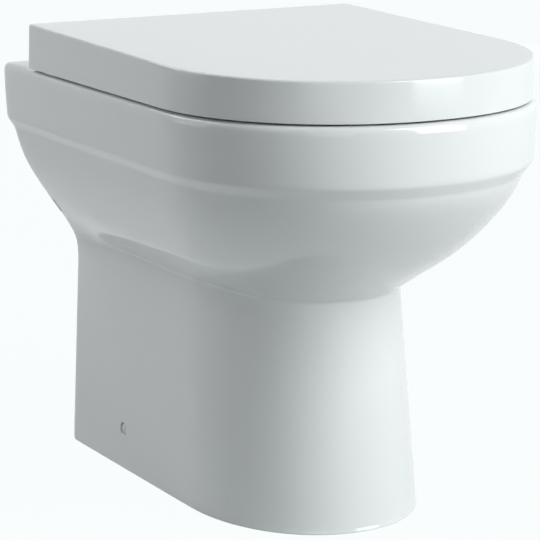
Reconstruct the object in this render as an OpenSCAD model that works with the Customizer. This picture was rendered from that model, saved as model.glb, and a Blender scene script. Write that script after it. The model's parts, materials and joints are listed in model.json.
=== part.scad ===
// Back to wall toilet: a skirted china pan with a soft-close seat and wrap-over lid.
// Millimetres. +Z is up, the front faces -Y, and the wall plane is y = 0.
// The origin is on the floor, in the wall plane, midway across the pan.

/* [Pan] */
// Height of the rim above the floor
rim_h = 400; // [390:1:420]
// Width across the rim
rim_w = 363; // [350:1:380]
// Reach of the rim from the wall
rim_reach = 520; // [505:1:540]
// Depth of the rim's rounded front
rim_nose = 180; // [165:1:195]
// Height of the straight band below the rim
band_h = 55; // [45:1:65]
// How much the band narrows on each side towards its lower edge
band_draft = 3; // [1:0.5:5]
// Height of the sloping step under the band
step_h = 12; // [8:1:16]
// How far the step cuts in
step_in = 7; // [4:0.5:9]
// Height of the neck, where the pedestal ends at the sides
neck_h = 200; // [190:1:210]
// Height of the crease between pedestal and bowl at the front
crease_h = 212; // [205:1:220]
// Width across the neck
neck_w = 206.5; // [196:0.5:216]
// Reach of the neck from the wall
neck_reach = 381; // [370:1:395]
// Width of the foot on the floor
foot_w = 223.5; // [212:0.5:240]
// Reach of the foot from the wall
foot_reach = 404; // [395:1:420]
// Depth of the pedestal's rounded front
foot_nose = 143; // [130:1:155]
// Thickness of the china walls
china_t = 11; // [9:0.5:12]
// Thickness of the deck and the rim's top
deck_t = 12; // [10:0.5:14]
// Rounding of the rim's outer top edge
rim_round = 7; // [4:0.5:9]

/* [Bowl] */
// Width of the bowl's opening
bowl_w = 250; // [236:1:262]
// Rear edge of the opening, from the wall
bowl_rear = 151; // [144:1:158]
// Width of the rim in front of the opening
front_rim = 49; // [46:1:60]
// Depth of the upright flushing wall below the rim
bowl_wall_h = 12; // [8:1:20]
// Height of the sump floor
sump_h = 52; // [46:1:58]
// Width of the sump
sump_w = 84; // [80:1:90]
// Rear of the sump, from the wall
sump_rear = 176; // [170:1:180]
// Front of the sump, from the wall
sump_front = 262; // [256:1:270]

/* [Plumbing] */
// Radius of the waterway
trap_r = 30; // [27:0.5:31]
// Height of the waterway's centre where it leaves the sump
trap_low_h = 86; // [82:1:90]
// Height of the waterway's centre at its crest
trap_top_h = 190; // [186:1:191]
// Crest of the waterway, from the wall
trap_top_y = 115; // [110:1:120]
// Radius of the soil spigot outside
spigot_r = 51; // [49:0.5:53]
// Radius of the soil spigot inside
spigot_bore_r = 43; // [41:0.5:44]
// Height of the soil spigot's centre
spigot_h = 180; // [176:1:184]
// End of the soil spigot, from the wall
spigot_end = 12; // [8:1:20]
// Length of the soil spigot
spigot_l = 60; // [50:1:64]
// Radius of the flush inlet's socket
inlet_r = 27.5; // [25:0.5:29]
// Height of the flush inlet's centre
inlet_h = 338; // [330:1:344]
// Mouth of the flush inlet, from the wall
inlet_end = 30; // [24:1:40]
// Depth of the flush inlet's socket
inlet_l = 60; // [45:1:70]
// Radius of the passage from the socket into the bowl
inlet_throat_r = 20; // [16:0.5:23]

/* [Lid and seat] */
// How much narrower the lid is than the rim
lid_narrower = 0; // [0:0.5:4]
// Rear edge of the lid, from the wall
lid_rear = 59.5; // [57:0.5:61]
// How far the lid's front edge stays behind the rim's
lid_front_back = 5; // [3:0.5:8]
// Gap between the rim and the lid
lid_gap = 2.1; // [1.5:0.1:3]
// Height of the lid at its rear
lid_h = 42.6; // [41:0.2:46]
// How much lower the lid's top is at its front
lid_fall = 7; // [4:0.5:9]
// Draft of the lid's side over its height
lid_draft = 1; // [0.5:0.1:2]
// Rounding of the lid's top edge
lid_round = 2; // [1:0.5:3]
// Thickness of the lid's top
lid_t = 5; // [4:0.5:6]
// Thickness of the lid's skirt
skirt_t = 4.5; // [3.5:0.5:5.5]
// Side clearance between the seat and the lid's skirt
seat_side_gap = 2; // [1.5:0.5:3]
// Thickness of the seat
seat_t = 20; // [17:0.5:21]
// Rear edge of the seat, from the wall
seat_rear = 112; // [111.5:0.5:116]
// Width of the seat's hole
hole_w = 224; // [210:1:236]
// Rear of the seat's hole, from the wall
hole_rear = 180; // [174:1:190]
// How far the seat's hole ends behind the rim's front edge
hole_front_back = 68; // [60:1:80]
// Height of the seat's buffers
buffer_h = 5; // [4.5:0.5:6]

/* [Hinges] */
// Distance between the two seat fixing holes
fixing_span = 155; // [152:1:160]
// Seat fixing holes, from the wall
fixing_y = 90; // [88:0.5:91]
// Radius of the seat fixing holes
fixing_hole_r = 7.5; // [6.5:0.5:8]
// Hinge axis, from the wall
axis_y = 72; // [71:0.5:73]
// Hinge axis above the rim
axis_h = 25; // [24.5:0.5:26]
// Outside radius of the hinge barrel
barrel_r = 10.5; // [9.5:0.5:11]
// Length of the hinge barrel
barrel_l = 27; // [25:0.5:28]
// Radius of the damper cartridges
damper_r = 7.4; // [6.5:0.1:7.6]
// Radius of the damper spindles
spindle_r = 3.95; // [3:0.05:4.4]
// Radius of the release button
button_r = 5; // [4:0.5:5.5]
// How far the release button stands out
button_out = 2.5; // [2.2:0.1:3.5]

/* [Floor fixing] */
// Side fixing screws, from the wall
cap_y = 116; // [105:1:125]
// Height of the side fixing screws
cap_h = 41; // [35:1:50]
// Radius of the cover caps
cap_r = 6.2; // [5.5:0.1:6.6]
// Distance between the two floor screw holes
floor_span = 124; // [116:1:130]
// Radius of the floor screw holes
floor_hole_r = 4.25; // [3:0.25:5]

/* [Hidden] */

$fn = 48;
LEFT = -1;
RIGHT = 1;
SIDES = [LEFT, RIGHT];
// Overshoot of a cut past the face that it opens
cut = 1;
// Static clearance between a pin and the hole that holds it
fit = 0.1;
// Running clearance of a turning or sliding pin, on the radius
run = 0.05;

// Points on each stretch of an outline
front_steps = 16;
side_steps = 4;
corner_steps = 5;

china = [0.95, 0.95, 0.94];
plastic = [0.96, 0.96, 0.96];
steel = [0.78, 0.79, 0.8];
grey = [0.55, 0.56, 0.57];
black = [0.12, 0.12, 0.12];

function mix(a, b, t) = a + (b - a) * t;
function smooth(t) = t * t * (3 - 2 * t);
function clamp01(t) = min(1, max(0, t));
function front_half(points) = [for (i = [len(points) - 1:-1:0]) [-points[i][0], points[i][1]]];

// ---- Outlines -------------------------------------------------------------------------

// Right half of a closed outline: rear corner, straight side, rounded front.
// w is the half width, rear and front are distances from the wall, nose is the depth of the
// rounded front, and the rear corner is an arc cw wide and cd deep.
function half_outline(w, rear, front, nose, cw, cd, n = 2.05) = concat(
    [for (i = [0:corner_steps]) let (a = 90 - 90 * i / corner_steps)
        [w - cw + cw * cos(a), -(rear + cd) + cd * sin(a)]],
    [for (i = [1:side_steps - 1]) [w, -mix(rear + cd, front - nose, i / side_steps)]],
    [for (i = [0:front_steps]) let (a = 90 * i / front_steps)
        [w * pow(cos(a), 2 / n), -(front - nose + nose * pow(sin(a), 2 / n))]]);

function outline(w, rear, front, nose, cw, cd) =
    let (half = half_outline(w, rear, front, nose, cw, cd))
    let (open = [for (i = [0:len(half) - 2]) half[i]])
    concat(half, front_half(open));

// The same outline as a ring of points at height z, which may fall towards the front
function ring(z, w, rear, front, nose, cw, cd, fall = 0) =
    [for (p = outline(w, rear, front, nose, cw, cd)) [p[0], p[1], z + fall * (p[1] + rear)]];

// A closed skin over a stack of rings, each flat end being one face. With looped set, the
// last ring joins the first instead.
module skin(rings, looped = false) {
    n = len(rings[0]);
    count = len(rings);
    last = looped ? count - 1 : count - 2;
    sides = [for (i = [0:last], k = [0:n - 1])
        let (a = i * n + k, b = i * n + (k + 1) % n)
        let (c = ((i + 1) % count) * n + (k + 1) % n, d = ((i + 1) % count) * n + k)
        each [[a, b, c], [a, c, d]]];
    ends = looped ? [] : [[for (k = [n - 1:-1:0]) k], [for (k = [0:n - 1]) (count - 1) * n + k]];
    polyhedron(points = [for (r = rings) each r], faces = concat(sides, ends));
}

// ---- Pan ------------------------------------------------------------------------------

band_bottom_h = rim_h - band_h;
bowl_top_h = band_bottom_h - step_h;
body_half_w = rim_w / 2 - band_draft - step_in;
body_reach = rim_reach - band_draft - step_in;
foot_round = 3;
wall_corner = 2;

// Half width, reach and nose depth of the pan's skin at height z
function skin_w(z) =
    z <= neck_h ? mix(foot_w, neck_w, z / neck_h) / 2 :
    mix(neck_w / 2, body_half_w, smooth(clamp01((z - neck_h) / (bowl_top_h - neck_h))));
function skin_reach(z) =
    z <= crease_h ? mix(foot_reach, neck_reach, z / crease_h) :
    mix(neck_reach, body_reach, 1 - pow(1 - clamp01((z - crease_h) / (bowl_top_h - crease_h)), 1.5));
function skin_nose(z) = mix(foot_nose, rim_nose, clamp01((z - neck_h) / (bowl_top_h - neck_h)));

function skin_ring(z, inset, rear, corner) = ring(z, skin_w(z) - inset, rear,
    skin_reach(z) - inset, skin_nose(z) - inset, corner, corner);

pedestal_levels = [for (t = [1:4]) mix(foot_round, neck_h, t / 4)];
bowl_levels = [for (t = [0:12]) mix(crease_h, bowl_top_h, pow(t / 12, 1.35))];
skin_levels = concat([foot_round], pedestal_levels, bowl_levels);

// Band and rounded rim: inset from the full rim at each height
rim_rings = concat(
    [ring(band_bottom_h, rim_w / 2 - band_draft, 0, rim_reach - band_draft, rim_nose,
        wall_corner, wall_corner)],
    [for (a = [0:22.5:90]) let (in = rim_round * (1 - cos(a)))
        ring(rim_h - rim_round + rim_round * sin(a), rim_w / 2 - in, 0, rim_reach - in,
            rim_nose - in, wall_corner, wall_corner)]);

foot_ring = ring(0, foot_w / 2 - foot_round, 0, foot_reach - foot_round, foot_nose - foot_round,
    wall_corner, wall_corner);

// Bowl: half width, rear and front at height z, and the china around it
bowl_front = rim_reach - front_rim;
bowl_nose = 170;
sump_nose = 50;
sump_edge = 10;
sump_step_h = 3;
sump_step_in = 4;
bowl_knee_h = rim_h - bowl_wall_h;
function bowl_part(z) = smooth(clamp01((z - sump_h) / (bowl_knee_h - sump_h)));
function bowl_ring(z, grow = 0, part_z = undef) =
    let (t = bowl_part(part_z == undef ? z : part_z))
    let (w = mix(sump_w, bowl_w, t) / 2 + grow)
    let (rear = mix(sump_rear, bowl_rear, t) - grow)
    let (front = mix(sump_front, bowl_front, t) + grow)
    let (nose = mix(sump_nose, bowl_nose, t) + grow)
    ring(z, w, rear, front, nose, w - 1, (front - nose - rear) * 0.7);

bowl_steps = 9;
bowl_inside_levels = [for (t = [0:bowl_steps])
    mix(sump_h + sump_edge, bowl_knee_h, t / bowl_steps)];
bowl_lip = 5;
roof_h = rim_h - deck_t;
roof_corner = 12;

// The bowl's outside, from under the sump up to the underside of the deck
bowl_rings = concat(
    [bowl_ring(sump_h - china_t, china_t - sump_edge, sump_h)],
    [bowl_ring(sump_h - china_t + sump_step_h, china_t - sump_step_in, sump_h)],
    [for (z = bowl_inside_levels) if (z < roof_h - sump_edge) bowl_ring(z, china_t)],
    [bowl_ring(roof_h, china_t)]);

// The shell: under the deck, down inside the skirt, round the foot, up the skirt and over
// the rim
shell_rings = concat(
    [skin_ring(roof_h, china_t, china_t, roof_corner)],
    [for (i = [len(bowl_levels) - 1:-2:0])
        skin_ring(bowl_levels[i], china_t, china_t, roof_corner)],
    [skin_ring(neck_h, china_t, china_t, roof_corner)],
    [skin_ring(0, china_t, china_t, roof_corner)],
    [foot_ring],
    [for (z = skin_levels) skin_ring(z, 0, 0, wall_corner)],
    rim_rings);

cavity_rings = concat(
    [bowl_ring(sump_h, -sump_edge, sump_h)],
    [bowl_ring(sump_h + sump_step_h, -sump_step_in, sump_h)],
    [for (z = bowl_inside_levels) bowl_ring(z)],
    [bowl_ring(rim_h - bowl_lip), bowl_ring(rim_h - 0.3 * bowl_lip, 0.3 * bowl_lip),
        bowl_ring(rim_h + cut, bowl_lip)]);

// Waterway through the trap, as a tube of radius r with a round elbow
trap_low_y = (sump_rear + sump_front) / 2 - 2;
module waterway(r, end_y) {
    rise = trap_top_h - trap_low_h;
    run_y = trap_low_y - trap_top_y;
    translate([0, -trap_low_y, trap_low_h])
        rotate([-atan2(run_y, rise), 0, 0])
            cylinder(r = r, h = norm([rise, run_y]));
    translate([0, -trap_low_y, trap_low_h])
        sphere(r = r + 0.5);
    translate([0, -trap_top_y, trap_top_h])
        sphere(r = r + 0.5);
    translate([0, -trap_top_y, trap_top_h])
        rotate([-90, 0, 0])
            cylinder(r = r, h = trap_top_y - end_y);
}

// A cylinder along the Y axis, from one distance off the wall to another
module along_y(r, from_y, to_y, z) {
    translate([0, -from_y, z])
        rotate([-90, 0, 0])
            cylinder(r = r, h = from_y - to_y);
}

// Open back of the pan, inside its mounting edge
back_edge = 15;
upper_back_edge = 29;
back_top_h = roof_h - 4;
module back_opening() {
    half = [[foot_w / 2 - back_edge, -cut], [neck_w / 2 - back_edge, neck_h],
        [body_half_w - upper_back_edge, bowl_top_h], [body_half_w - upper_back_edge, back_top_h]];
    translate([0, cut, 0])
        rotate([90, 0, 0])
            linear_extrude(china_t + wall_corner + 2 * cut)
                polygon(concat(half, front_half(half)));
}

// Sizes of the side fixing: the hole through the skirt and the recess for the cap
cap_gap = 0.7;
cap_t = 2.6;
screw_head_t = 2.4;
screw_head_r = 5.5;
screw_r = 3;
screw_fit = 1;
skirt_x = skin_w(cap_h);
cap_depth = 0.9;
recess_x = skirt_x - cap_t - screw_head_t - cap_depth;

spigot_wall_y = spigot_end + spigot_l;
trap_wall = 9;
horn_r = inlet_r + trap_wall;
// How far the parts of the plumbing run into each other
lap = 8;

// Way of the flushing water: the pipe's socket and the narrower throat into the bowl
module flush_way() {
    along_y(inlet_r, inlet_end + inlet_l, inlet_end - cut, inlet_h);
    along_y(inlet_throat_r, bowl_rear + 2 * lap, inlet_end + inlet_l - cut, inlet_h);
}

// Bowl with its sump, cast on its own and stuck under the deck before firing
module bowl() {
    color(china)
        difference() {
            skin(bowl_rings);
            skin(cavity_rings);
            skin(shell_rings);
            waterway(trap_r, spigot_wall_y - lap);
            flush_way();
        }
}

// Trap and soil spigot, stuck to the bowl in the same way
module trapway() {
    color(china)
        difference() {
            union() {
                waterway(trap_r + trap_wall, spigot_wall_y);
                along_y(spigot_r, spigot_wall_y + lap, spigot_end, spigot_h);
            }
            skin(bowl_rings);
            skin(cavity_rings);
            waterway(trap_r, spigot_wall_y - lap);
            along_y(spigot_bore_r, spigot_wall_y - lap / 2, spigot_end - cut, spigot_h);
        }
}

// Horn that takes the flush pipe, stuck to the back of the bowl in the same way
module flush_horn() {
    color(china)
        difference() {
            along_y(horn_r, bowl_rear + lap / 2, inlet_end, inlet_h);
            skin(bowl_rings);
            skin(cavity_rings);
            flush_way();
        }
}

// Skirt, deck and rim, cast in one
module pan() {
    color(china)
        difference() {
            skin(shell_rings);
            skin(cavity_rings);
            back_opening();
            for (side = SIDES) {
                translate([side * fixing_span / 2, -fixing_y, roof_h - cut])
                    cylinder(r = fixing_hole_r, h = deck_t + 2 * cut);
                translate([side * recess_x, -cap_y, cap_h])
                    rotate([0, side * 90, 0])
                        cylinder(r = cap_r + cap_gap, h = china_t);
                translate([side * (skirt_x - china_t - 2 * cut), -cap_y, cap_h])
                    rotate([0, side * 90, 0])
                        cylinder(r = screw_r + screw_fit, h = china_t);
            }
        }
}

// ---- Seat fixings through the deck ----------------------------------------------------

stud_r = 3.9;
gasket_t = 1.5;
base_r = 20;
base_t = 3;
post_r = 6;
post_h = 7.5;
base_bottom_h = rim_h + gasket_t;
base_top_h = base_bottom_h + base_t;
post_top_h = base_top_h + post_h;
bush_flange_t = 7;
washer_r = 13;
washer_t = 2;
bush_r = 14;
bush_taper = 3;
sleeve_short = 1;
nut_h = 12;
nut_r = 9;
wing_span = 36;
wing_drop = 9;
wing_edge = 5;
wing_t = 3.5;
stud_below = 18;
// China and steel left above the top of the stud
stud_short = 2;
washer_top_h = roof_h - bush_flange_t;
nut_top_h = washer_top_h - washer_t;

module at_fixings() {
    for (side = SIDES)
        translate([side * fixing_span / 2, -fixing_y, 0])
            children();
}

module stud_gaskets() {
    color(black)
        at_fixings()
            translate([0, 0, rim_h])
                difference() {
                    cylinder(r = base_r, h = gasket_t);
                    translate([0, 0, -cut])
                        cylinder(r = stud_r + fit, h = gasket_t + 2 * cut);
                }
}

module fixing_studs() {
    color(steel)
        at_fixings()
            translate([0, 0, nut_top_h - nut_h - stud_below])
                cylinder(r = stud_r, h = post_top_h - stud_short - nut_top_h + nut_h + stud_below);
}

// Rubber bush: a sleeve in the deck hole with a tapered flange that grips under the deck
module rubber_bushes() {
    sleeve_top = bush_flange_t + deck_t - sleeve_short;
    color(black)
        at_fixings()
            translate([0, 0, washer_top_h])
                rotate_extrude()
                    polygon([[stud_r + fit, 0], [bush_r - bush_taper, 0],
                        [bush_r, bush_flange_t - bush_taper], [bush_r, bush_flange_t],
                        [fixing_hole_r - fit, bush_flange_t], [fixing_hole_r - fit, sleeve_top],
                        [stud_r + fit, sleeve_top]]);
}

module stud_washers() {
    color(steel)
        at_fixings()
            translate([0, 0, nut_top_h])
                difference() {
                    cylinder(r = washer_r, h = washer_t);
                    translate([0, 0, -cut])
                        cylinder(r = stud_r + fit, h = washer_t + 2 * cut);
                }
}

module wing_nuts() {
    wing = [[wing_edge, nut_h - wing_edge], [wing_span / 2 - wing_edge, -wing_drop],
        [wing_span / 2, wing_t - wing_drop], [wing_span / 2 - wing_edge, nut_h - 1]];
    color(plastic)
        at_fixings()
            translate([0, 0, nut_top_h - nut_h])
                difference() {
                    union() {
                        cylinder(r = nut_r, h = nut_h);
                        rotate([90, 0, 90])
                            linear_extrude(wing_t, center = true)
                                polygon(concat(wing, front_half(wing)));
                    }
                    translate([0, 0, -wing_drop])
                        cylinder(r = stud_r + fit, h = nut_h + 2 * wing_drop);
                }
}

// Steel base: a disc on the gasket with the post that the hinge clips onto
module hinge_base(side) {
    color(steel)
        translate([side * fixing_span / 2, -fixing_y, base_bottom_h])
            difference() {
                union() {
                    cylinder(r = base_r, h = base_t);
                    cylinder(r = post_r, h = base_t + post_h);
                }
                translate([0, 0, -cut])
                    cylinder(r = stud_r + fit, h = base_t + post_h - stud_short + cut + fit);
            }
}

// ---- Hinges ---------------------------------------------------------------------------

axis_z = rim_h + axis_h;
barrel_x = fixing_span / 2;
body_w = 24;
foot_r = 16;
foot_h = 19.5;
foot_top_h = base_top_h + foot_h;
body_behind_axis = 6;
body_before_post = 12;
body_rear_y = axis_y - body_behind_axis;
body_front_y = fixing_y + body_before_post;
body_chamfer = 4;
button_step_h = foot_top_h - 4;
button_flange_t = 1.5;
button_play = 0.2;
button_flange_r = post_r - button_play;
button_bottom_h = button_step_h - button_flange_t - button_play;

// Moves children from the hinge axis at x = 0 to their place on one side
module on_axis(x) {
    translate([x, -axis_y, axis_z])
        rotate([0, 90, 0])
            children();
}

// Side view of a hinge piece, drawn as [distance from the wall, height], given a width
module side_profile(x, w, points) {
    translate([x - w / 2, 0, 0])
        rotate([90, 0, 90])
            linear_extrude(w)
                polygon([for (p = points) [-p[0], p[1]]]);
}

module hinge_body(side) {
    x = side * barrel_x;
    color(steel)
        difference() {
            union() {
                translate([x, -fixing_y, base_top_h])
                    cylinder(r = foot_r, h = foot_top_h - base_top_h);
                side_profile(x, body_w, [[body_rear_y, base_top_h], [body_front_y, base_top_h],
                    [body_front_y, foot_top_h - body_chamfer],
                    [body_front_y - body_chamfer, foot_top_h],
                    [axis_y + body_chamfer, foot_top_h], [axis_y, axis_z], [body_rear_y, axis_z]]);
                on_axis(x - barrel_l / 2)
                    cylinder(r = barrel_r, h = barrel_l);
            }
            on_axis(x - barrel_l / 2 - cut)
                cylinder(r = damper_r + fit, h = barrel_l + 2 * cut);
            translate([x, -fixing_y, base_top_h - cut])
                cylinder(r = post_r + fit, h = button_step_h - base_top_h + cut);
            translate([x, -fixing_y, button_step_h - cut])
                cylinder(r = button_r + run, h = foot_top_h - button_step_h + 2 * cut);
        }
}

// Damper cartridge: inner half of the barrel for the seat, outer half for the lid
damper_gap = 0.2;
damper_l = barrel_l / 2 - 2 * damper_gap;
module damper(side, out) {
    x = side * barrel_x + (out ? side : -side) * (damper_l / 2 + damper_gap) - damper_l / 2;
    color(grey)
        difference() {
            on_axis(x)
                cylinder(r = damper_r, h = damper_l);
            on_axis(x - cut)
                cylinder(r = spindle_r + run, h = damper_l + 2 * cut);
        }
}

module release_button(side) {
    color(plastic)
        translate([side * fixing_span / 2, -fixing_y, 0]) {
            translate([0, 0, button_bottom_h])
                cylinder(r = button_flange_r, h = button_flange_t);
            translate([0, 0, button_bottom_h])
                cylinder(r = button_r, h = foot_top_h + button_out - button_bottom_h);
        }
}

// Button spring: a wire of radius spring_wire wound in spring_turns turns
spring_r = 4;
spring_wire = 0.5;
spring_turns = 3;
spring_sides = 8;
rings_per_turn = 14;
spring_bottom_h = post_top_h + fit;
spring_top_h = button_bottom_h - fit;
function spring_ring(t) =
    let (a = 360 * spring_turns * t)
    let (z = mix(spring_bottom_h + spring_wire, spring_top_h - spring_wire, t))
    [for (k = [0:spring_sides - 1]) let (b = 360 * k / spring_sides)
        [(spring_r + spring_wire * cos(b)) * cos(a), (spring_r + spring_wire * cos(b)) * sin(a),
            z + spring_wire * sin(b)]];
module button_spring(side) {
    steps = spring_turns * rings_per_turn;
    color(steel)
        translate([side * fixing_span / 2, -fixing_y, 0])
            skin([for (i = [0:steps]) spring_ring(i / steps)]);
}

// ---- Seat -----------------------------------------------------------------------------

lid_w = rim_w - lid_narrower;
lid_front = rim_reach - lid_front_back;
nose_less = 3;
lid_nose = rim_nose - nose_less;
seat_bottom_h = rim_h + buffer_h;
seat_top_h = seat_bottom_h + seat_t;
seat_half_w = lid_w / 2 - lid_draft - skirt_t - seat_side_gap;
seat_front = lid_front - lid_draft - skirt_t - seat_side_gap;
seat_nose = lid_nose - skirt_t - seat_side_gap;
seat_corner = 16;
seat_round = 6;
hole_front = rim_reach - hole_front_back;
hole_nose = 130;
hole_round = 8;
arm_inner_x = 51;
arm_w = 9;
arm_plate_t = 3;
arm_plate_end = 158;
arm_play = 0.2;
arm_screw_ys = [126, 147];
arm_screw_r = 1.9;
arm_screw_head_r = 3.6;
arm_screw_head_t = 2;
seat_screw_l = 11.5;
seat_edge = 2;
buffer_stem_r = 3;
buffer_stem_l = 6;

function seat_outer(z, in) = ring(z, seat_half_w - in, seat_rear + in, seat_front - in,
    seat_nose - in, seat_corner - in, seat_corner - in);
function seat_inner(z, out) = ring(z, hole_w / 2 + out, hole_rear - out, hole_front + out,
    hole_nose + out, hole_w / 2 + out - 1, (hole_front - hole_nose - hole_rear) * 0.7 + out);

// Round the seat's section: outside up, over the top, down the hole and back underneath
seat_rings = concat(
    [seat_outer(seat_bottom_h, seat_edge), seat_outer(seat_bottom_h + seat_edge, 0)],
    [for (a = [0:30:90]) seat_outer(seat_top_h - seat_round + seat_round * sin(a),
        seat_round * (1 - cos(a)))],
    [for (a = [90:-30:0]) seat_inner(seat_top_h - 1 - hole_round + hole_round * sin(a),
        hole_round * (1 - cos(a)))],
    [seat_inner(seat_bottom_h + seat_edge, 0), seat_inner(seat_bottom_h, seat_edge)]);

// The seat and the lid each have two buffers near the front and one on each side
buffer_front_x = 62;
buffer_side_y = 250;
seat_buffer_front_in = 30;
seat_buffer_side_in = 31.5;
seat_buffer_spots = [[buffer_front_x, rim_reach - seat_buffer_front_in],
    [rim_w / 2 - seat_buffer_side_in, buffer_side_y]];
seat_buffer_r = 8;
module seat_ring() {
    color(plastic)
        difference() {
            skin(seat_rings, looped = true);
            for (side = SIDES) {
                translate([side * (arm_inner_x + arm_w / 2) - arm_w / 2 - arm_play,
                        -arm_plate_end - arm_play, seat_bottom_h - cut])
                    cube([arm_w + 2 * arm_play, arm_plate_end + 2 * arm_play,
                        arm_plate_t + arm_play + cut]);
                for (y = arm_screw_ys)
                    translate([side * (arm_inner_x + arm_w / 2), -y, seat_bottom_h])
                        cylinder(r = arm_screw_r + fit, h = seat_screw_l + 5 * fit);
                for (p = seat_buffer_spots)
                    translate([side * p[0], -p[1], seat_bottom_h - cut])
                        cylinder(r = buffer_stem_r + fit, h = buffer_stem_l + 2 * cut);
            }
        }
}

module seat_buffers() {
    color(grey)
        for (side = SIDES, p = seat_buffer_spots)
            translate([side * p[0], -p[1], rim_h]) {
                cylinder(r = seat_buffer_r, h = buffer_h);
                cylinder(r = buffer_stem_r, h = buffer_h + buffer_stem_l);
            }
}

eye_r = 9.5;
seat_eye_w = 12.5;
arm_neck = 8;
module seat_arm(side) {
    x = side * (arm_inner_x + arm_w / 2);
    arm_top_h = seat_bottom_h + arm_plate_t;
    color(steel)
        difference() {
            union() {
                on_axis(side * (arm_inner_x + seat_eye_w / 2) - seat_eye_w / 2)
                    cylinder(r = eye_r, h = seat_eye_w);
                side_profile(x, arm_w, [[axis_y - arm_neck / 2, axis_z],
                    [axis_y - arm_neck / 4, axis_z - arm_neck], [seat_rear - arm_neck, seat_bottom_h],
                    [arm_plate_end, seat_bottom_h], [arm_plate_end, arm_top_h],
                    [seat_rear - 1, arm_top_h], [seat_rear - arm_plate_t, arm_top_h + arm_plate_t],
                    [axis_y + arm_neck / 2, axis_z + arm_neck]]);
            }
            on_axis(side * (arm_inner_x + seat_eye_w / 2) - seat_eye_w / 2 - cut)
                cylinder(r = spindle_r + fit, h = seat_eye_w + 2 * cut);
            for (y = arm_screw_ys)
                translate([x, -y, seat_bottom_h - cut])
                    cylinder(r = arm_screw_r + fit, h = arm_plate_t + 2 * cut);
        }
}

// Screw that holds a hinge arm: head under the arm, shank upwards
module arm_screw(shank_l) {
    translate([0, 0, -arm_screw_head_t])
        cylinder(r = arm_screw_head_r, h = arm_screw_head_t);
    cylinder(r = arm_screw_r, h = shank_l);
}

module seat_arm_screws() {
    color(steel)
        for (side = SIDES, y = arm_screw_ys)
            translate([side * (arm_inner_x + arm_w / 2), -y, seat_bottom_h])
                arm_screw(seat_screw_l);
}

// How far a spindle's end lies inside the eye that holds it
spindle_inset = 0.5;
module seat_spindle(side) {
    from_x = arm_inner_x + spindle_inset;
    to_x = barrel_x - 2 * spindle_inset;
    color(steel)
        on_axis(side > 0 ? from_x : -to_x)
            cylinder(r = spindle_r, h = to_x - from_x);
}

// ---- Lid ------------------------------------------------------------------------------

lid_bottom_h = rim_h + lid_gap;
lid_corner = 4;
lid_slope = lid_fall / (lid_front - lid_rear);
lid_top_h = lid_bottom_h + lid_h;
lid_arm_w = 11;
lid_arm_gap = 0.75;
lid_arm_x = barrel_x + barrel_l / 2 + lid_arm_gap + lid_arm_w / 2;
lid_pad_above_axis = 13.2;
lid_pad_h = axis_z + lid_pad_above_axis;
lid_pad_w = 16;
lid_pad_y = [66, 130];
lid_arm_screw_ys = [96, 116];
lid_screw_bite = 3.4;
lid_edge = 0.6;

// Height of the lid's underside at a distance from the wall
function lid_inside_h(y) = lid_top_h - lid_t - lid_slope * (y - lid_rear);

function lid_ring(z, in, corner, fall = 0) = ring(z, lid_w / 2 - in, lid_rear + in, lid_front - in,
    lid_nose - in, corner, corner, fall);

lid_rings = concat(
    [lid_ring(lid_top_h - lid_t, lid_draft + skirt_t, lid_corner, lid_slope)],
    [lid_ring(lid_bottom_h, skirt_t, lid_corner)],
    [lid_ring(lid_bottom_h, lid_edge, lid_corner)],
    [lid_ring(lid_bottom_h + lid_edge, 0, lid_corner)],
    [for (a = [0:30:90]) lid_ring(lid_top_h - lid_round + lid_round * sin(a),
        lid_draft + lid_round * (1 - cos(a)), lid_corner, lid_slope)]);

// Rounded lower corner at the rear, which swings down past the deck
rear_round = 6;
module rear_corner_cut() {
    side_profile(0, 2 * lid_w, concat([[lid_rear - cut, lid_bottom_h - cut],
        [lid_rear - cut, lid_bottom_h + rear_round]],
        [for (a = [0:15:90]) [lid_rear + rear_round * (1 - cos(a)),
            lid_bottom_h + rear_round * (1 - sin(a))]],
        [[lid_rear + rear_round, lid_bottom_h - cut]]));
}

// Cuts in the rear skirt: a raised lower edge, and a notch for each hinge
rear_rise = 12;
rear_span = 330;
notch_gap = 3;
notch_x = arm_inner_x - notch_gap;
notch_w = lid_arm_x + lid_arm_w / 2 + notch_gap - notch_x;

module lid() {
    color(plastic)
        difference() {
            union() {
                skin(lid_rings);
                for (side = SIDES)
                    translate([side * lid_arm_x - lid_pad_w / 2, -lid_pad_y[1], lid_pad_h])
                        cube([lid_pad_w, lid_pad_y[1] - lid_pad_y[0],
                            lid_top_h - lid_t + cut - lid_pad_h]);
            }
            rear_corner_cut();
            translate([-rear_span / 2, -lid_rear - skirt_t - 2 * cut, lid_bottom_h - cut])
                cube([rear_span, skirt_t + 4 * cut, rear_rise + cut]);
            for (side = SIDES) {
                translate([side > 0 ? notch_x : -notch_x - notch_w, -lid_rear - skirt_t - 2 * cut,
                        lid_bottom_h - cut])
                    cube([notch_w, skirt_t + 4 * cut, lid_top_h - lid_t - lid_bottom_h + cut / 2]);
                for (y = lid_arm_screw_ys)
                    translate([side * lid_arm_x, -y, lid_pad_h - cut])
                        cylinder(r = arm_screw_r + fit, h = lid_screw_bite + 2 * fit + cut);
            }
        }
}

lid_buffer_front_in = 36;
lid_buffer_side_in = 35.5;
lid_buffer_spots = [[buffer_front_x, rim_reach - lid_buffer_front_in],
    [rim_w / 2 - lid_buffer_side_in, buffer_side_y]];
lid_buffer_r = 7;
lid_buffer_play = 0.15;
module lid_buffers() {
    color(grey)
        for (side = SIDES, p = lid_buffer_spots)
            translate([side * p[0], -p[1], seat_top_h])
                cylinder(r = lid_buffer_r, h = lid_inside_h(p[1]) - seat_top_h - lid_buffer_play);
}

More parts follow.
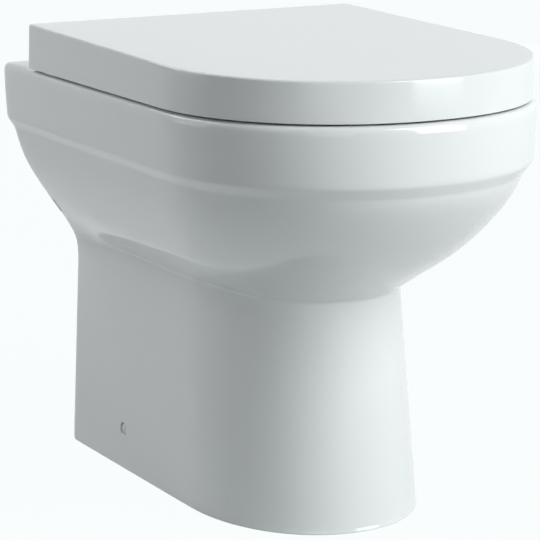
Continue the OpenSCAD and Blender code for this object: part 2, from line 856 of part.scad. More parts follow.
module lid_arm(side) {
    x = side * lid_arm_x;
    color(steel)
        difference() {
            union() {
                on_axis(x - lid_arm_w / 2)
                    cylinder(r = eye_r, h = lid_arm_w);
                side_profile(x, lid_arm_w, [[lid_pad_y[0] + 1, axis_z], [lid_pad_y[0] + 1, lid_pad_h],
                    [lid_pad_y[1] - 2, lid_pad_h], [lid_pad_y[1] - 2, lid_pad_h - arm_plate_t],
                    [axis_y + arm_neck + 6, lid_pad_h - arm_plate_t], [axis_y + arm_neck, axis_z]]);
            }
            on_axis(x - lid_arm_w / 2 - cut)
                cylinder(r = spindle_r + fit, h = lid_arm_w + 2 * cut);
            for (y = lid_arm_screw_ys)
                translate([x, -y, lid_pad_h - arm_plate_t - cut])
                    cylinder(r = arm_screw_r + fit, h = arm_plate_t + 2 * cut);
        }
}

module lid_arm_screws() {
    color(steel)
        for (side = SIDES, y = lid_arm_screw_ys)
            translate([side * lid_arm_x, -y, lid_pad_h - arm_plate_t])
                arm_screw(arm_plate_t + lid_screw_bite);
}

module lid_spindle(side) {
    from_x = barrel_x + 2 * spindle_inset;
    to_x = lid_arm_x + lid_arm_w / 2 - spindle_inset;
    color(steel)
        on_axis(side > 0 ? from_x : -to_x)
            cylinder(r = spindle_r, h = to_x - from_x);
}

// ---- Floor fixing ---------------------------------------------------------------------

bracket_t = 4;
bracket_w = 30;
bracket_block = 12;
bracket_block_w = 24;
bracket_gap = 1.5;
bracket_x = skirt_x - china_t - bracket_gap;
bracket_inner_x = floor_span / 2 - bracket_block;
sleeve_r = 5;
screw_beyond = 4;

module floor_bracket(side) {
    color(grey)
        difference() {
            union() {
                translate([side > 0 ? bracket_inner_x : -bracket_x, -cap_y - bracket_w / 2, 0])
                    cube([bracket_x - bracket_inner_x, bracket_w, bracket_t]);
                translate([side > 0 ? bracket_x - bracket_block : -bracket_x,
                        -cap_y - bracket_block_w / 2, 0])
                    cube([bracket_block, bracket_block_w, cap_h + 2 * sleeve_r]);
            }
            translate([side * floor_span / 2, -cap_y, -cut])
                cylinder(r = floor_hole_r, h = bracket_t + 2 * cut);
            translate([side * (bracket_x - bracket_block - cut), -cap_y, cap_h])
                rotate([0, side * 90, 0])
                    cylinder(r = sleeve_r + fit, h = bracket_block + 2 * cut);
        }
}

module bracket_sleeves() {
    color(plastic)
        for (side = SIDES)
            translate([side * (bracket_x - bracket_block), -cap_y, cap_h])
                rotate([0, side * 90, 0])
                    difference() {
                        cylinder(r = sleeve_r, h = bracket_block);
                        translate([0, 0, -cut])
                            cylinder(r = screw_r + fit, h = bracket_block + 2 * cut);
                    }
}

module pan_screws() {
    color(steel)
        for (side = SIDES) {
            translate([side * recess_x, -cap_y, cap_h])
                rotate([0, side * 90, 0])
                    cylinder(r = screw_head_r, h = screw_head_t);
            translate([side * (bracket_x - bracket_block - screw_beyond), -cap_y, cap_h])
                rotate([0, side * 90, 0])
                    cylinder(r = screw_r,
                        h = recess_x - bracket_x + bracket_block + screw_beyond + cut);
        }
}

// Cover caps, clipped over the screw heads flush with the skirt
module screw_caps() {
    color(plastic)
        for (side = SIDES)
            translate([side * (recess_x + screw_head_t), -cap_y, cap_h])
                rotate([0, side * 90, 0])
                    cylinder(r = cap_r, h = cap_t);
}

pan();
bowl();
trapway();
flush_horn();
stud_gaskets();
fixing_studs();
rubber_bushes();
stud_washers();
wing_nuts();
hinge_base(LEFT);  // left_hinge_base
hinge_base(RIGHT);  // right_hinge_base
hinge_body(LEFT);  // left_hinge_body
hinge_body(RIGHT);  // right_hinge_body
damper(LEFT, false);  // left_seat_damper
damper(RIGHT, false);  // right_seat_damper
damper(LEFT, true);  // left_lid_damper
damper(RIGHT, true);  // right_lid_damper
release_button(LEFT);  // left_release_button
release_button(RIGHT);  // right_release_button
button_spring(LEFT);  // left_button_spring
button_spring(RIGHT);  // right_button_spring
floor_bracket(LEFT);  // left_floor_bracket
floor_bracket(RIGHT);  // right_floor_bracket
bracket_sleeves();
pan_screws();
screw_caps();
seat_ring();
seat_buffers();
seat_arm(LEFT);  // left_seat_arm
seat_arm(RIGHT);  // right_seat_arm
seat_arm_screws();
seat_spindle(LEFT);  // left_seat_spindle
seat_spindle(RIGHT);  // right_seat_spindle
lid();
lid_buffers();
lid_arm(LEFT);  // left_lid_arm
lid_arm(RIGHT);  // right_lid_arm
lid_arm_screws();
lid_spindle(LEFT);  // left_lid_spindle
lid_spindle(RIGHT);  // right_lid_spindle
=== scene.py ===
"""Looks of a back to wall toilet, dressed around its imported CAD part.

Millimetres are used for all sizes, and each finished piece is scaled to metres.
+Z is up, the front faces -Y, and the wall plane is y = 0.
"""

import json
import logging
import math
from collections.abc import Callable, Sequence
from dataclasses import dataclass
from enum import Enum

import bmesh
import bpy
from mathutils import Matrix, Vector

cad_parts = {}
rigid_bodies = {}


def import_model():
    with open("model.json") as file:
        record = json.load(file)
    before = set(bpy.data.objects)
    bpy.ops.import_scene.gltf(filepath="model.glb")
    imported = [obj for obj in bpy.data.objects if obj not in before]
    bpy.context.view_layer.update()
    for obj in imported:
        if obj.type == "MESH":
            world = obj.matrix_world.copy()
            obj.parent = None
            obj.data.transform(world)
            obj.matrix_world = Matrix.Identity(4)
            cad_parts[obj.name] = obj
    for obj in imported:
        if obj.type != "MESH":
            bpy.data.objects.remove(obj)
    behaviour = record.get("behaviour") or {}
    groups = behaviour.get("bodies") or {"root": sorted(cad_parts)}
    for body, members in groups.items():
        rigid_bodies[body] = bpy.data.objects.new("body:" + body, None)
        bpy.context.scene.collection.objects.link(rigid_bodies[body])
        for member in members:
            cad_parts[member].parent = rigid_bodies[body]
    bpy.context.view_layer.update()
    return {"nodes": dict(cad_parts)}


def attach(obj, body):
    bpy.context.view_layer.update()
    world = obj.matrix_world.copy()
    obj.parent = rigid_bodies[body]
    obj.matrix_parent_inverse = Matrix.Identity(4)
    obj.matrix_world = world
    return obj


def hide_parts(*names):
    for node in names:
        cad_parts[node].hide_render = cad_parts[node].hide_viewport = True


for leftover in list(bpy.data.objects):
    bpy.data.objects.remove(leftover)
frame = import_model()

MM = 0.001
SIDES = (-1, 1)
FOOT_SCREW = (-116.0, 41.0)  # y and z of the screw through each side of the foot
HINGE_SPREAD = 77.5  # from the middle to each hinge post
HINGE_BEHIND = 90.0  # from the wall to the hinge posts
SPIGOT_HEIGHT = 180.0  # axis of the soil spigot above the floor
INLET_HEIGHT = 338.0  # axis of the flush inlet above the floor
LOG = logging.getLogger("toilet")
Point = Sequence[float]
Test = Callable[[Vector], bool]


# ---- Tools of the bench -----------------------------------------------------------------


class Bench:
    """The work at the bench that every piece shares."""

    @staticmethod
    def hold(*objs: bpy.types.Object) -> bpy.types.Object:
        """Select these objects alone, the first of them active, and give it back.

        Returns:
            The first of them, or None where there are none.
        """
        if bpy.context.object and bpy.context.object.mode != "OBJECT":
            bpy.ops.object.mode_set(mode="OBJECT")
        bpy.ops.object.select_all(action="DESELECT")
        for obj in objs:
            obj.select_set(True)
        if objs:
            bpy.context.view_layer.objects.active = objs[0]
            return objs[0]

    @staticmethod
    def edit(obj: bpy.types.Object) -> None:
        """Go into edit mode on an object, with its vertices shown for picking.

        Args:
            obj: the object.
        """
        Bench.hold(obj)
        bpy.ops.object.mode_set(mode="EDIT")
        bpy.ops.mesh.select_mode(type="VERT")

    @staticmethod
    def done() -> None:
        """Go back to object mode."""
        bpy.ops.object.mode_set(mode="OBJECT")

    @staticmethod
    def name(obj: bpy.types.Object, name: str) -> bpy.types.Object:
        """Give an object and its mesh a name."""
        obj.name = obj.data.name = name
        return obj

    @staticmethod
    def pick(test: Test) -> None:
        """Select the vertices whose place passes a test, in edit mode.

        Args:
            test: tells from a vertex's place whether to select it.
        """
        data = bpy.context.object.data
        bpy.ops.mesh.select_all(action="DESELECT")
        mesh = bmesh.from_edit_mesh(data)
        for vert in mesh.verts:
            vert.select = test(vert.co)
        mesh.select_flush_mode()
        bmesh.update_edit_mesh(data, loop_triangles=False, destructive=False)

    @staticmethod
    def pick_edges(test: Callable[[bmesh.types.BMEdge], bool]) -> None:
        """Select the edges that pass a test, in edit mode.

        Args:
            test: tells whether to select an edge.
        """
        data = bpy.context.object.data
        bpy.ops.mesh.select_mode(type="EDGE")
        bpy.ops.mesh.select_all(action="DESELECT")
        mesh = bmesh.from_edit_mesh(data)
        for edge in mesh.edges:
            edge.select_set(test(edge))
        bmesh.update_edit_mesh(data, loop_triangles=False, destructive=False)

    @staticmethod
    def circle(name: str, radius: float, height: float, steps: int) -> bpy.types.Object:
        """Add a level ring of edges round the Z axis, left selected in edit mode.

        Args:
            name: name of the object.
            radius: its radius.
            height: its height.
            steps: how many edges it has.

        Returns:
            The new object, in edit mode.
        """
        Bench.hold()
        bpy.ops.mesh.primitive_circle_add(
            vertices=steps, radius=radius, fill_type="NOTHING", location=(0, 0, height)
        )
        obj = Bench.name(bpy.context.object, name)
        bpy.ops.object.transform_apply()
        Bench.edit(obj)
        bpy.ops.mesh.select_all(action="SELECT")
        return obj

    @staticmethod
    def cube(name: str, low: Point, high: Point) -> bpy.types.Object:
        """Add a block between two corners.

        Args:
            name: name of the object.
            low: its least x, y and z.
            high: its greatest x, y and z.

        Returns:
            The new object.
        """
        Bench.hold()
        bpy.ops.mesh.primitive_cube_add(
            size=1,
            location=[(a + b) / 2 for a, b in zip(low, high)],
            scale=[b - a for a, b in zip(low, high)],
        )
        bpy.ops.object.transform_apply()
        return Bench.name(bpy.context.object, name)

    @staticmethod
    def push(move: Point = (0, 0, 0)) -> None:
        """Extrude what is selected and move the new part."""
        bpy.ops.mesh.extrude_region_move(TRANSFORM_OT_translate={"value": tuple(move)})

    @staticmethod
    def swell(factor: Point, centre: Point) -> None:
        """Scale what is selected about a point."""
        bpy.ops.transform.resize(value=tuple(factor), center_override=tuple(centre))

    @staticmethod
    def tilt(angle: float, axis: str, centre: Point) -> None:
        """Turn what is selected about a point by the right-hand rule, in radians."""
        bpy.ops.transform.rotate(value=-angle, orient_axis=axis, center_override=tuple(centre))

    @staticmethod
    def place(obj: bpy.types.Object, turn: Point = (0, 0, 0), move: Point = (0, 0, 0)) -> None:
        """Turn an object about the origin in degrees, then move it, all in its mesh.

        Args:
            obj: the object.
            turn: degrees about X, Y and Z.
            move: millimetres along X, Y and Z.
        """
        Bench.hold(obj)
        obj.rotation_euler = [math.radians(angle) for angle in turn]
        obj.location = move
        bpy.ops.object.transform_apply()

    @staticmethod
    def modify(obj: bpy.types.Object, kind: str, **settings: object) -> None:
        """Add a modifier with these settings and apply it.

        Args:
            obj: the object.
            kind: the modifier's type.
            settings: its properties.
        """
        Bench.hold(obj)
        modifier = obj.modifiers.new(kind.title(), kind)
        for key, value in settings.items():
            setattr(modifier, key, value)
        bpy.ops.object.modifier_apply(modifier=modifier.name)

    @staticmethod
    def smooth(obj: bpy.types.Object, levels: int = 2) -> None:
        """Subdivide a mesh into a smooth one."""
        Bench.modify(obj, "SUBSURF", levels=levels, render_levels=levels)

    @staticmethod
    def soften(obj: bpy.types.Object, width: float, segments: int = 2, angle: float = 35) -> None:
        """Round every edge that is sharper than an angle in degrees.

        Args:
            obj: the object.
            width: width of the rounding.
            segments: how many faces make the rounding.
            angle: the least angle that is rounded, in degrees.
        """
        Bench.modify(
            obj, "BEVEL", width=width, segments=segments, limit_method="ANGLE",
            angle_limit=math.radians(angle), use_clamp_overlap=True,
        )

    @staticmethod
    def cut(obj: bpy.types.Object, tool: bpy.types.Object, how: str = "DIFFERENCE") -> None:
        """Cut a tool's shape out of an object, or add it, and throw the tool away."""
        Bench.modify(obj, "BOOLEAN", object=tool, operation=how, solver="EXACT")
        bpy.data.objects.remove(tool)

    @staticmethod
    def join(name: str, parts: Sequence[bpy.types.Object]) -> bpy.types.Object:
        """Join meshes into one object.

        Args:
            name: name of the result.
            parts: the meshes to join.

        Returns:
            The joined object.
        """
        Bench.hold(*parts)
        if len(parts) > 1:
            bpy.ops.object.join()
        return Bench.name(bpy.context.object, name)

    @staticmethod
    def outwards(obj: bpy.types.Object, merge: float = 0.001) -> None:
        """Merge doubles and turn every face outwards.

        Args:
            obj: the object.
            merge: vertices nearer than this are merged.
        """
        Bench.edit(obj)
        bpy.ops.mesh.select_all(action="SELECT")
        bpy.ops.mesh.remove_doubles(threshold=merge)
        bpy.ops.mesh.normals_make_consistent(inside=False)
        Bench.done()

    @staticmethod
    def twin(obj: bpy.types.Object, name: str) -> bpy.types.Object:
        """Copy a mesh and mirror the copy across the plane x = 0.

        Args:
            obj: the object.
            name: name of the copy.

        Returns:
            The mirrored copy.
        """
        Bench.hold(obj)
        bpy.ops.object.duplicate()
        copy = Bench.name(bpy.context.object, name)
        copy.scale = (-1, 1, 1)
        bpy.ops.object.transform_apply()
        Bench.outwards(copy)
        return copy

    @staticmethod
    def finish(
        obj: bpy.types.Object,
        body: str,
        slot: str,
        finishes: Sequence[bpy.types.Material],
        replaced: Sequence[str],
        angle: float = 32.0,
    ) -> bpy.types.Object:
        """Scale a mesh to metres, smooth it, dress it and hand it to the frame.

        Args:
            obj: the mesh, in millimetres.
            body: the CAD body that it rides on.
            slot: the record's material slot; not used.
            finishes: its materials, in the order of its material indexes.
            replaced: the CAD nodes that it stands for.
            angle: edges flatter than this many degrees are shaded smooth.

        Returns:
            The finished piece.
        """
        Bench.hold(obj)
        obj.scale = (MM, MM, MM)
        bpy.ops.object.transform_apply()
        obj.data.materials.clear()
        for finish in finishes:
            obj.data.materials.append(finish)
        bpy.ops.object.shade_smooth_by_angle(angle=math.radians(angle))
        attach(obj, body)
        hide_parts(*replaced)
        LOG.info("%s: %d faces, rides on %s", obj.name, len(obj.data.polygons), body)
        return obj


# ---- Skins drawn ring by ring -----------------------------------------------------------


@dataclass(frozen=True)
class Ring:
    """One level of a skin that is seen from above as a D or an egg.

    Args:
        z: its height, at the rear if it falls.
        half: half its width.
        stops: distances from the wall of its rear edge, of where its rear corners end, of
            where its rounded front begins, and of its front edge.
        fall: how much lower it is for each millimetre towards the front.
        wander: gives how much higher and wider it is at a distance from the wall.
    """

    z: float
    half: float
    stops: tuple[float, float, float, float]
    fall: float = 0.0
    wander: Callable[[float], tuple[float, float]] | None = None


def d_ring(
    z: float, half: float, rear: float, front: float, nose: float, corner: float,
    fall: float = 0.0, wander: Callable[[float], tuple[float, float]] | None = None,
) -> Ring:
    """A ring with a straight rear edge between two corners of a small radius."""
    return Ring(z, half, (rear, rear + corner, front - nose, front), fall, wander)


class Loft:
    """A skin drawn ring by ring: extrude, then scale and move each stretch of the ring."""

    SIDE_STEPS = 6
    CORNER_STEPS = 3
    REAR_STEPS = 6
    FULLNESS = 2.08  # exponent of the rounded front: 2 is an ellipse, more is squarer

    def __init__(self, name: str, first: Ring, straight_rear: bool, front_steps: int) -> None:
        """Draw the first ring.

        Args:
            name: name of the object.
            first: its first level.
            straight_rear: whether the rear is a straight edge with corners.
            front_steps: how many edges the rounded front has.
        """
        self.level = first
        _, _, split, front = first.stops
        self.obj = Bench.circle(name, first.half, first.z, 2 * front_steps)
        Bench.pick(lambda p: p.y < 1e-3)
        Bench.swell((1, (front - split) / first.half, 1), (0, 0, 0))
        bpy.ops.transform.translate(value=(0, -split, 0))
        if straight_rear:
            self._fill_front(first, front_steps)
            self._square_rear(first)
        else:
            self._round_rear(first)
        self.newest = list(range(len(bmesh.from_edit_mesh(self.obj.data).verts)))
        self._lean(first.fall)

    def _fill_front(self, ring: Ring, steps: int) -> None:
        """Make the rounded front a little squarer than an ellipse.

        Args:
            ring: the level that is being drawn.
            steps: how many edges the rounded front has.
        """
        _, _, split, front = ring.stops
        power = 2 / self.FULLNESS - 1
        for i in range(1, steps // 2):
            angle = math.pi * i / steps
            far = split + (front - split) * math.sin(angle)
            Bench.pick(lambda p: abs(p.y + far) < 1e-3)
            Bench.swell((math.cos(angle) ** power, math.sin(angle) ** power, 1), (0, -split, 0))

    def _square_rear(self, ring: Ring) -> None:
        """Swap the rear half of the circle for straight sides, corners and a rear edge.

        Args:
            ring: the level that is being drawn.
        """
        rear, bend, split, _ = ring.stops
        Bench.pick(lambda p: p.y > -split + 1e-3)
        bpy.ops.mesh.delete(type="VERT")
        Bench.pick(lambda p: p.y > -split - 1e-3)
        for _ in range(self.SIDE_STEPS):
            Bench.push((0, (split - bend) / self.SIDE_STEPS, 0))
        corner = bend - rear
        wide, back = ring.half, 0.0
        for i in range(1, self.CORNER_STEPS + 1):
            angle = math.pi / 2 * i / self.CORNER_STEPS
            new_wide = ring.half - corner * (1 - math.cos(angle))
            new_back = corner * math.sin(angle)
            Bench.push((0, new_back - back, 0))
            Bench.swell((new_wide / wide, 1, 1), (0, 0, 0))
            wide, back = new_wide, new_back
        bpy.ops.mesh.edge_face_add()
        bpy.ops.mesh.subdivide(number_cuts=self.REAR_STEPS - 1)

    def _round_rear(self, ring: Ring) -> None:
        """Stretch the rear half of the circle into a rounded rear with short sides.

        Args:
            ring: the level that is being drawn.
        """
        rear, bend, _, _ = ring.stops
        Bench.pick(lambda p: p.y > 1e-3)
        Bench.swell((1, (bend - rear) / ring.half, 1), (0, 0, 0))
        bpy.ops.transform.translate(value=(0, -bend, 0))

    def _mesh(self) -> bmesh.types.BMesh:
        """The mesh being edited, with its lookup table ready.

        Returns:
            The mesh.
        """
        mesh = bmesh.from_edit_mesh(self.obj.data)
        mesh.verts.ensure_lookup_table()
        return mesh

    def _select(self, indexes: Sequence[int]) -> None:
        """Select these vertices and nothing else.

        Args:
            indexes: the vertices' indexes.
        """
        bpy.ops.mesh.select_all(action="DESELECT")
        mesh = self._mesh()
        for i in indexes:
            mesh.verts[i].select = True
        mesh.select_flush_mode()
        bmesh.update_edit_mesh(self.obj.data, loop_triangles=False, destructive=False)

    def _lean(self, fall: float) -> None:
        """Tilt the newest ring about its rear edge so that it falls towards the front.

        Args:
            fall: how much it falls for each millimetre forwards.
        """
        if fall:
            self._select(self.newest)
            Bench.tilt(math.atan(fall), "X", (0, -self.level.stops[0], self.level.z))

    def _wander(self, ring: Ring, undo: bool) -> None:
        """Lift and widen the newest ring along its run, or take that back.

        Args:
            ring: the level that is being drawn.
            undo: whether to take the wandering back.
        """
        if ring.wander is None:
            return
        verts = self._mesh().verts
        stations: dict[int, list[int]] = {}
        for i in self.newest:
            stations.setdefault(round(-20 * verts[i].co.y), []).append(i)
        for place, indexes in stations.items():
            rise, widening = ring.wander(place / 20)
            grown = 1 + widening / ring.half
            self._select(indexes)
            Bench.swell((1 / grown if undo else grown, 1, 1), (0, 0, 0))
            bpy.ops.transform.translate(value=(0, 0, -rise if undo else rise))

    def to(self, ring: Ring) -> "Loft":
        """Extrude the newest ring to a new level and shape.

        Args:
            ring: the level to reach.

        Returns:
            The loft itself, so that calls can be chained.
        """
        old = self.level
        self._select(self.newest)
        Bench.push()
        self.newest = [v.index for v in self._mesh().verts if v.select]
        self._wander(old, undo=True)
        self._select(self.newest)
        if old.fall:
            Bench.tilt(-math.atan(old.fall), "X", (0, -old.stops[0], old.z))
        bpy.ops.transform.translate(value=(0, 0, ring.z - old.z))
        Bench.swell((ring.half / old.half, 1, 1), (0, 0, 0))
        verts = self._mesh().verts
        far = {i: -verts[i].co.y for i in self.newest}
        ends = list(zip(old.stops, old.stops[1:]))
        groups = [
            [i for i in self.newest if a - 2e-3 <= far[i] and (n == 2 or far[i] < b - 2e-3)]
            for n, (a, b) in enumerate(ends)
        ]
        for group, (a, b), (c, d) in zip(groups, ends, zip(ring.stops, ring.stops[1:])):
            self._select(group)
            Bench.swell((1, (d - c) / (b - a), 1), (0, -a, 0))
            bpy.ops.transform.translate(value=(0, a - c, 0))
        self.level = ring
        self._lean(ring.fall)
        self._wander(ring, undo=False)
        return self

    def through(self, rings: Sequence[Ring]) -> "Loft":
        """Extrude through several levels.

        Args:
            rings: the levels in order.

        Returns:
            The loft itself.
        """
        for ring in rings:
            self.to(ring)
        return self

    def close(self) -> "Loft":
        """Close the newest ring with one flat face.

        Returns:
            The loft itself.
        """
        self._select(self.newest)
        bpy.ops.mesh.edge_face_add()
        return self

    def end(self) -> bpy.types.Object:
        """Leave edit mode and give back the object."""
        Bench.done()
        return self.obj


def bridge(obj: bpy.types.Object, low: float, high: float) -> None:
    """Join the two open loops of a mesh that lie between two heights.

    Args:
        obj: the object.
        low: the lower height.
        high: the upper height.
    """
    Bench.edit(obj)
    Bench.pick_edges(lambda e: e.is_boundary and all(low < v.co.z < high for v in e.verts))
    bpy.ops.mesh.bridge_edge_loops()
    Bench.done()


def turned(
    name: str, profile: Sequence[tuple[float, float]], steps: int = 48, looped: bool = False
) -> bpy.types.Object:
    """Draw a turned shape round the Z axis, ring by ring.

    Args:
        name: name of the object.
        profile: its rings, each a radius and a height.
        steps: how many sides it has.
        looped: whether the last ring joins the first, as on a sleeve with a bore.

    Returns:
        The new object, closed.
    """
    obj = Bench.circle(name, profile[0][0], profile[0][1], steps)
    path = list(profile)
    if looped:
        path.append(profile[0])
    else:
        bpy.ops.mesh.edge_face_add()
    for (r, h), (next_r, next_h) in zip(path, path[1:]):
        Bench.push((0, 0, next_h - h))
        Bench.swell((next_r / r, next_r / r, 1), (0, 0, next_h))
    Bench.done()
    Bench.outwards(obj)
    return obj


def outline(name: str, points: Sequence[Point]) -> bpy.types.Object:
    """Draw a flat face through points, starting from one vertex that is extruded along.

    Args:
        name: name of the object.
        points: its corners in order.

    Returns:
        The new object.
    """
    Bench.hold()
    bpy.ops.mesh.primitive_plane_add(size=1)
    obj = Bench.name(bpy.context.object, name)
    Bench.edit(obj)
    bpy.ops.mesh.select_all(action="SELECT")
    bpy.ops.mesh.merge(type="CENTER")
    bpy.ops.mesh.select_all(action="SELECT")
    bpy.ops.transform.translate(value=points[0])
    for a, b in zip(points, points[1:]):
        Bench.push([q - p for p, q in zip(a, b)])
    bpy.ops.mesh.select_all(action="SELECT")
    bpy.ops.mesh.edge_face_add()
    Bench.done()
    return obj


def side_plate(
    name: str, points: Sequence[tuple[float, float]], low_x: float, high_x: float
) -> bpy.types.Object:
    """Draw a plate from its side view and give it a width.

    Args:
        name: name of the object.
        points: its corners, each a distance from the wall and a height.
        low_x: where it begins.
        high_x: where it ends.

    Returns:
        The closed plate.
    """
    plate = outline(name, [(low_x, -far, z) for far, z in points])
    Bench.edit(plate)
    bpy.ops.mesh.select_all(action="SELECT")
    Bench.push((high_x - low_x, 0, 0))
    Bench.done()
    Bench.outwards(plate)
    return plate


# ---- Finishes ---------------------------------------------------------------------------


class Graph:
    """Adds nodes to a node tree, setting or linking each named input."""

    def __init__(self, tree: bpy.types.NodeTree) -> None:
        """Start on an emptied tree."""
        self.tree = tree
        tree.nodes.clear()

    def add(self, kind: str, settings: dict | None = None, **inputs: object) -> bpy.types.Node:
        """Add a node.

        Args:
            kind: its type, without the leading "ShaderNode" or "Node".
            settings: its properties.
            inputs: its inputs by name, with _ for a space; a socket is linked.

        Returns:
            The new node.
        """
        prefix = "Node" if kind.startswith("Group") and kind != "Group" else "ShaderNode"
        node = self.tree.nodes.new(prefix + kind)
        for key, value in (settings or {}).items():
            setattr(node, key, value)
        for key, value in inputs.items():
            socket = node.inputs[int(key[1:])] if key[0] == "i" and key[1:].isdigit() else (
                node.inputs[key.replace("_", " ")])
            if isinstance(value, bpy.types.NodeSocket):
                self.tree.links.new(value, socket)
            else:
                socket.default_value = value
        return node


class SharedEffect(Enum):
    """The node groups that the finishes share."""

    MOTTLE = "Mottle"
    SURFACE = "Surface"
    BRUSHED = "Brushed"
    SETTLED = "SettledDust"


def effect_group(effect: SharedEffect) -> bpy.types.NodeTree:
    """Give a shared effect's node group, made the first time.

    Args:
        effect: which one.

    Returns:
        Its node group.
    """
    if effect.value in bpy.data.node_groups:
        return bpy.data.node_groups[effect.value]
    tree = bpy.data.node_groups.new(effect.value, "ShaderNodeTree")
    graph = Graph(tree)
    {
        SharedEffect.MOTTLE: _mottle,
        SharedEffect.SURFACE: _surface,
        SharedEffect.BRUSHED: _brushed,
        SharedEffect.SETTLED: _settled,
    }[effect](tree, graph)
    return tree


def _sockets(tree: bpy.types.NodeTree, inputs: dict, outputs: dict) -> None:
    """Give a group its inputs and outputs, each a name and a kind.

    Args:
        tree: the node group.
        inputs: its inputs, each a name and a kind.
        outputs: its outputs, each a name and a kind.
    """
    for name, kind in inputs.items():
        tree.interface.new_socket(name, in_out="INPUT", socket_type="NodeSocket" + kind)
    for name, kind in outputs.items():
        tree.interface.new_socket(name, in_out="OUTPUT", socket_type="NodeSocket" + kind)


def _mottle(tree: bpy.types.NodeTree, graph: Graph) -> None:
    """Colour and roughness that drift a little over a piece.

    Args:
        tree: the node group.
        graph: adds nodes to it.
    """
    _sockets(tree, {"Color": "Color", "Drift": "Float", "Scale": "Float", "Rough": "Float",
                    "Rough Drift": "Float"}, {"Color": "Color", "Roughness": "Float"})
    given = graph.add("GroupInput").outputs
    place = graph.add("TexCoord").outputs["Object"]
    broad = graph.add("TexNoise", Vector=place, Scale=given["Scale"], Detail=3.0)
    fine = graph.add("TexNoise", Vector=place, Scale=90.0, Detail=2.0)
    level = graph.add("MapRange", Value=broad.outputs["Fac"], From_Min=0.3, From_Max=0.7,
                      To_Min=-1.0, To_Max=1.0)
    step = graph.add("Math", {"operation": "MULTIPLY"}, i0=level.outputs[0],
                     i1=given["Drift"])
    gain = graph.add("Math", {"operation": "ADD"}, i0=step.outputs[0], i1=1.0)
    colour = graph.add("VectorMath", {"operation": "SCALE"}, i0=given["Color"],
                       Scale=gain.outputs[0])
    rough = graph.add("Math", {"operation": "MULTIPLY_ADD"}, i0=fine.outputs["Fac"],
                      i1=given["Rough Drift"], i2=given["Rough"])
    graph.add("GroupOutput", Color=colour.outputs[0], Roughness=rough.outputs[0])


def _surface(tree: bpy.types.NodeTree, graph: Graph) -> None:
    """The small unevenness of a moulded or glazed face, as a normal.

    Args:
        tree: the node group.
        graph: adds nodes to it.
    """
    _sockets(tree, {"Wave Scale": "Float", "Wave Depth": "Float", "Grain Scale": "Float",
                    "Grain Depth": "Float"}, {"Normal": "Vector"})
    given = graph.add("GroupInput").outputs
    place = graph.add("TexCoord").outputs["Object"]
    wave = graph.add("TexNoise", Vector=place, Scale=given["Wave Scale"], Detail=1.0)
    grain = graph.add("TexNoise", Vector=place, Scale=given["Grain Scale"], Detail=2.0)
    low = graph.add("Bump", Strength=1.0, Distance=given["Wave Depth"],
                    Height=wave.outputs["Fac"])
    high = graph.add("Bump", Strength=1.0, Distance=given["Grain Depth"],
                     Height=grain.outputs["Fac"], Normal=low.outputs[0])
    graph.add("GroupOutput", Normal=high.outputs[0])


def _brushed(tree: bpy.types.NodeTree, graph: Graph) -> None:
    """Fine strokes along one direction, as a value and a normal.

    Args:
        tree: the node group.
        graph: adds nodes to it.
    """
    _sockets(tree, {"Stretch": "Vector", "Depth": "Float", "Rough": "Float"},
             {"Roughness": "Float", "Normal": "Vector", "Mask": "Float"})
    given = graph.add("GroupInput").outputs
    place = graph.add("TexCoord").outputs["Object"]
    spread = graph.add("VectorMath", {"operation": "MULTIPLY"}, i0=place, i1=given["Stretch"])
    stroke = graph.add("TexNoise", Vector=spread.outputs[0], Scale=1.0, Detail=4.0)
    bump = graph.add("Bump", Strength=1.0, Distance=given["Depth"],
                     Height=stroke.outputs["Fac"])
    rough = graph.add("Math", {"operation": "MULTIPLY_ADD"}, i0=stroke.outputs["Fac"],
                      i1=0.25, i2=given["Rough"])
    graph.add("GroupOutput", Roughness=rough.outputs[0], Normal=bump.outputs[0],
              Mask=stroke.outputs["Fac"])


def _settled(tree: bpy.types.NodeTree, graph: Graph) -> None:
    """A broken mask of wear or scum over a finish.

    Args:
        tree: the node group.
        graph: adds nodes to it.
    """
    _sockets(tree, {"Scale": "Float", "Amount": "Float"}, {"Mask": "Float"})
    given = graph.add("GroupInput").outputs
    place = graph.add("TexCoord").outputs["Object"]
    cloud = graph.add("TexNoise", Vector=place, Scale=given["Scale"], Detail=5.0)
    mask = graph.add("MapRange", Value=cloud.outputs["Fac"], From_Min=0.5, From_Max=0.75,
                     To_Min=0.0, To_Max=given["Amount"])
    graph.add("GroupOutput", Mask=mask.outputs[0])


